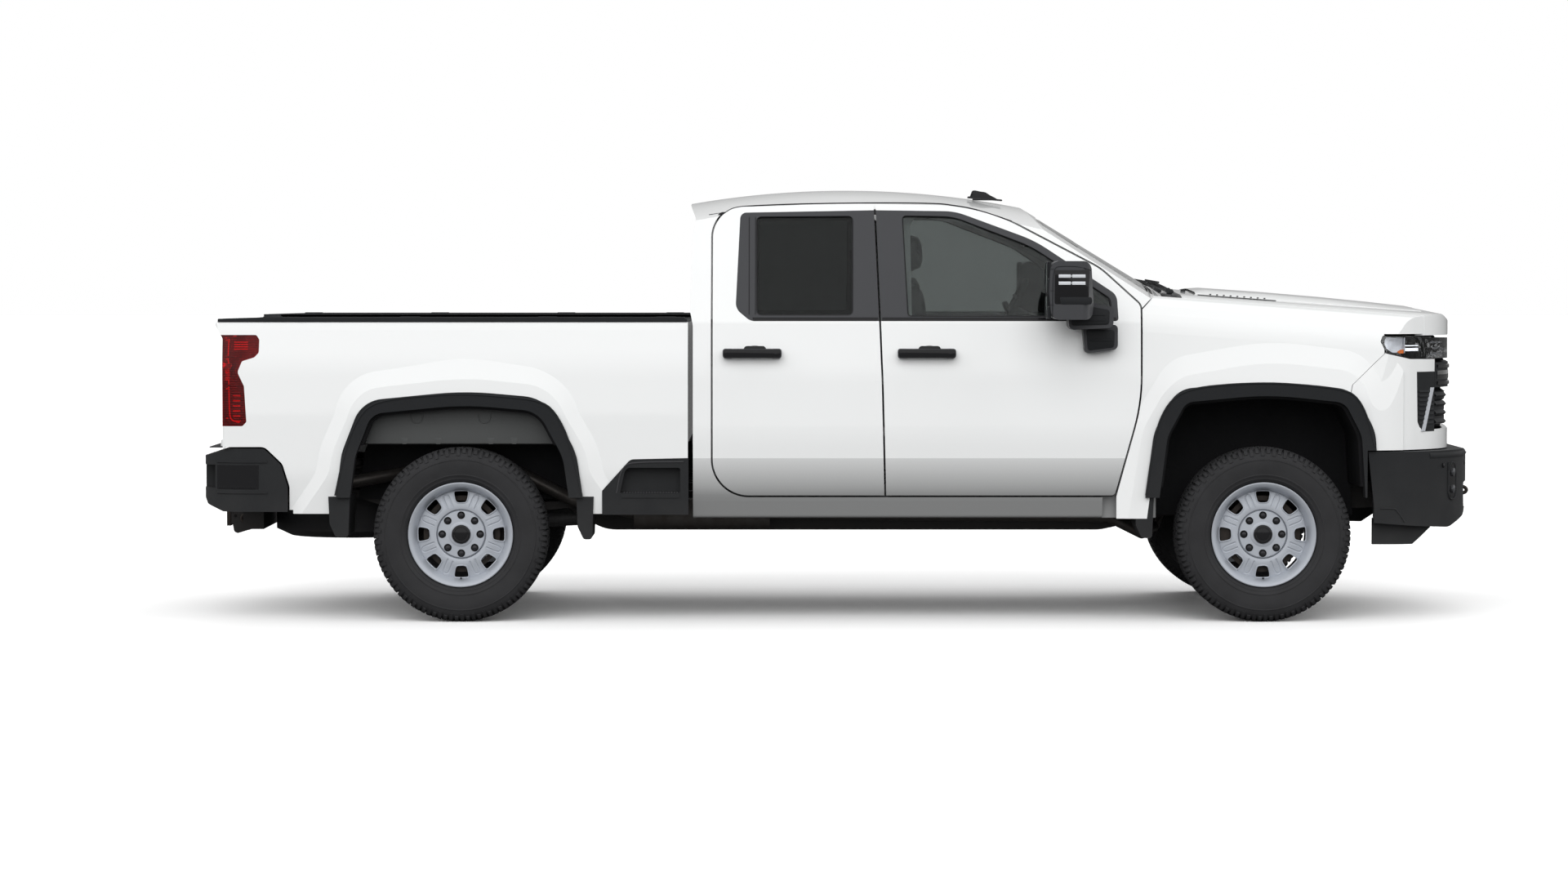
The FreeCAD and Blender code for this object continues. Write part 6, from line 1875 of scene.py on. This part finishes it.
@piece(ENGINE_BAY, "trim")
def bay_boxes(bm):
    """Battery, air filter box, fuse box and radiator cover in the engine bay."""
    for low, high, bevel in (((2060, 340, 1080), (2340, 560, 1290), 14), ((1760, 400, 1100), (1980, 560, 1280), 10),
                             ((1760, -560, 1110), (2000, -400, 1250), 10),
                             ((2080, -560, 1090), (2300, -380, 1290), 8),
                             ((2450, -520, 1180), (2560, 520, 1300), 10)):
        add_box(bm, low, high, bevel, 3)
    for x in (1810, 1930):
        add_rod(bm, (x, 470, 1280), (x, 470, 1298), 12, 18, 2)


@piece(ENGINE_BAY, "seal")
def bay_hoses(bm):
    for radius, sides, path in ((22, 12, [(2330, -120, 1240), (2400, -160, 1260), (2460, -200, 1240)]),
                                (24, 12, [(2330, -200, 900), (2400, -240, 860), (2470, -300, 850)]),
                                (12, 8, [(1700, 280, 1220), (1760, 340, 1250), (1800, 400, 1240)]),
                                (12, 8, [(1690, -280, 1200), (1740, -360, 1230), (1780, -420, 1210)])):
        add_tube(bm, path, radius, sides)
    for x in range(1680, 2131, 90):
        add_tube(bm, [(x, 190, 1290), (x + 10, 250, 1300), (x + 20, 292, 1240)], 6, 8)


class TRUCK_OT_engine_bay(Step, Operator):
    """Build the engine cover, boxes and hoses under the hood"""
    bl_idname = "truck.engine_bay"
    bl_label = "Engine bay"
    pieces = ENGINE_BAY


# Stage

CAMERA_PLACE = -0.309
CAMERA_PITCH = 2.31
SUN_ANGLE = 60
FLOOR_SIZE = 120.0


def add_sun(name, direction, strength):
    light = bpy.data.lights.new(name, "SUN")
    light.energy = strength
    light.angle = math.radians(SUN_ANGLE)
    holder = bpy.data.objects.new(name, light)
    holder.rotation_euler = Vector(direction).to_track_quat("-Z", "Y").to_euler()
    holder.visible_glossy = False
    bpy.context.scene.collection.objects.link(holder)


def add_camera(scene, settings):
    """Camera of the photo."""
    camera = bpy.data.cameras.new("photo_camera")
    camera.sensor_width = 36.0
    camera.lens = 100.7
    camera.shift_x = 0.0036
    holder = bpy.data.objects.new("photo_camera", camera)
    holder.location = (CAMERA_PLACE, -settings.distance, settings.height)
    holder.rotation_euler = (math.radians(90 - CAMERA_PITCH), 0, 0)
    scene.collection.objects.link(holder)
    scene.camera = holder


def build_world(settings):
    """White backdrop for the camera and through glass, softer light and reflections elsewhere."""
    world = bpy.data.worlds.new("studio")
    world.use_nodes = True
    tree = world.node_tree
    rays = add_node(tree, "LightPath").outputs
    level = settings.ambient
    for label, high in (("Is Glossy Ray", settings.reflections), ("Is Transmission Ray", 1.0),
                        ("Is Camera Ray", 1.0)):
        level = add_node(tree, "Mix", {"Factor": rays[label], "A": level, "B": high}).outputs["Result"]
    background = tree.nodes["Background"].inputs
    background["Color"].default_value = (1, 1, 1, 1)
    tree.links.new(level, background["Strength"])
    bpy.context.scene.world = world


class TRUCK_OT_stage(Operator):
    """Set the camera, floor and studio light"""
    bl_idname = "truck.stage"
    bl_label = "Stage"

    def execute(self, context):
        settings = context.scene.truck_stage
        add_camera(context.scene, settings)
        MATERIALS["floor"] = studio_floor()
        floor = bmesh.new()
        bmesh.ops.create_grid(floor, x_segments=1, y_segments=1, size=FLOOR_SIZE)
        make_piece("studio_floor", floor, "floor", None)
        build_world(settings)
        for name, direction, strength in (("near_light", (0.10, 1.0, -0.55), settings.near_light),
                                          ("far_light", (-0.3, -1.0, -0.7), settings.far_light),
                                          ("front_light", (-1.0, 0.25, -0.6), settings.end_light),
                                          ("rear_light", (1.0, 0.15, -0.6), settings.end_light)):
            add_sun(name, direction, strength)
        context.scene.view_settings.view_transform = "Standard"
        return {"FINISHED"}


class TRUCK_PT_panel(Panel):
    """Sidebar panel with the truck's steps"""
    bl_idname = "TRUCK_PT_panel"
    bl_label = "Pickup truck"
    bl_space_type = "VIEW_3D"
    bl_region_type = "UI"
    bl_category = "Truck"

    def draw(self, context):
        for operator in OPERATORS:
            self.layout.operator(operator.bl_idname)
        for name in SETTINGS:
            settings = getattr(context.scene, name)
            for label in settings.__annotations__:
                self.layout.prop(settings, label)


SETTINGS = {"truck_finish": FinishSettings, "truck_tyre": TyreSettings, "truck_stage": StageSettings}
OPERATORS = (TRUCK_OT_finishes, TRUCK_OT_wheels, TRUCK_OT_doors, TRUCK_OT_lamps, TRUCK_OT_cab_trim,
             TRUCK_OT_front_end, TRUCK_OT_rear_end, TRUCK_OT_seats, TRUCK_OT_cab_inside,
             TRUCK_OT_underbody, TRUCK_OT_engine_bay, TRUCK_OT_stage)
CLASSES = (*SETTINGS.values(), *OPERATORS, TRUCK_PT_panel)


def register():
    for entry in CLASSES:
        bpy.utils.register_class(entry)
    for name, settings in SETTINGS.items():
        setattr(bpy.types.Scene, name, PointerProperty(type=settings))


def unregister():
    for name in SETTINGS:
        delattr(bpy.types.Scene, name)
    for entry in reversed(CLASSES):
        bpy.utils.unregister_class(entry)


def main():
    register()
    bpy.ops.truck.finishes()
    bpy.ops.truck.wheels()
    bpy.ops.truck.doors()
    bpy.ops.truck.lamps()
    bpy.ops.truck.cab_trim()
    bpy.ops.truck.front_end()
    bpy.ops.truck.rear_end()
    bpy.ops.truck.seats()
    bpy.ops.truck.cab_inside()
    bpy.ops.truck.underbody()
    bpy.ops.truck.engine_bay()
    bpy.ops.truck.stage()


if __name__ == "__main__":
    main()
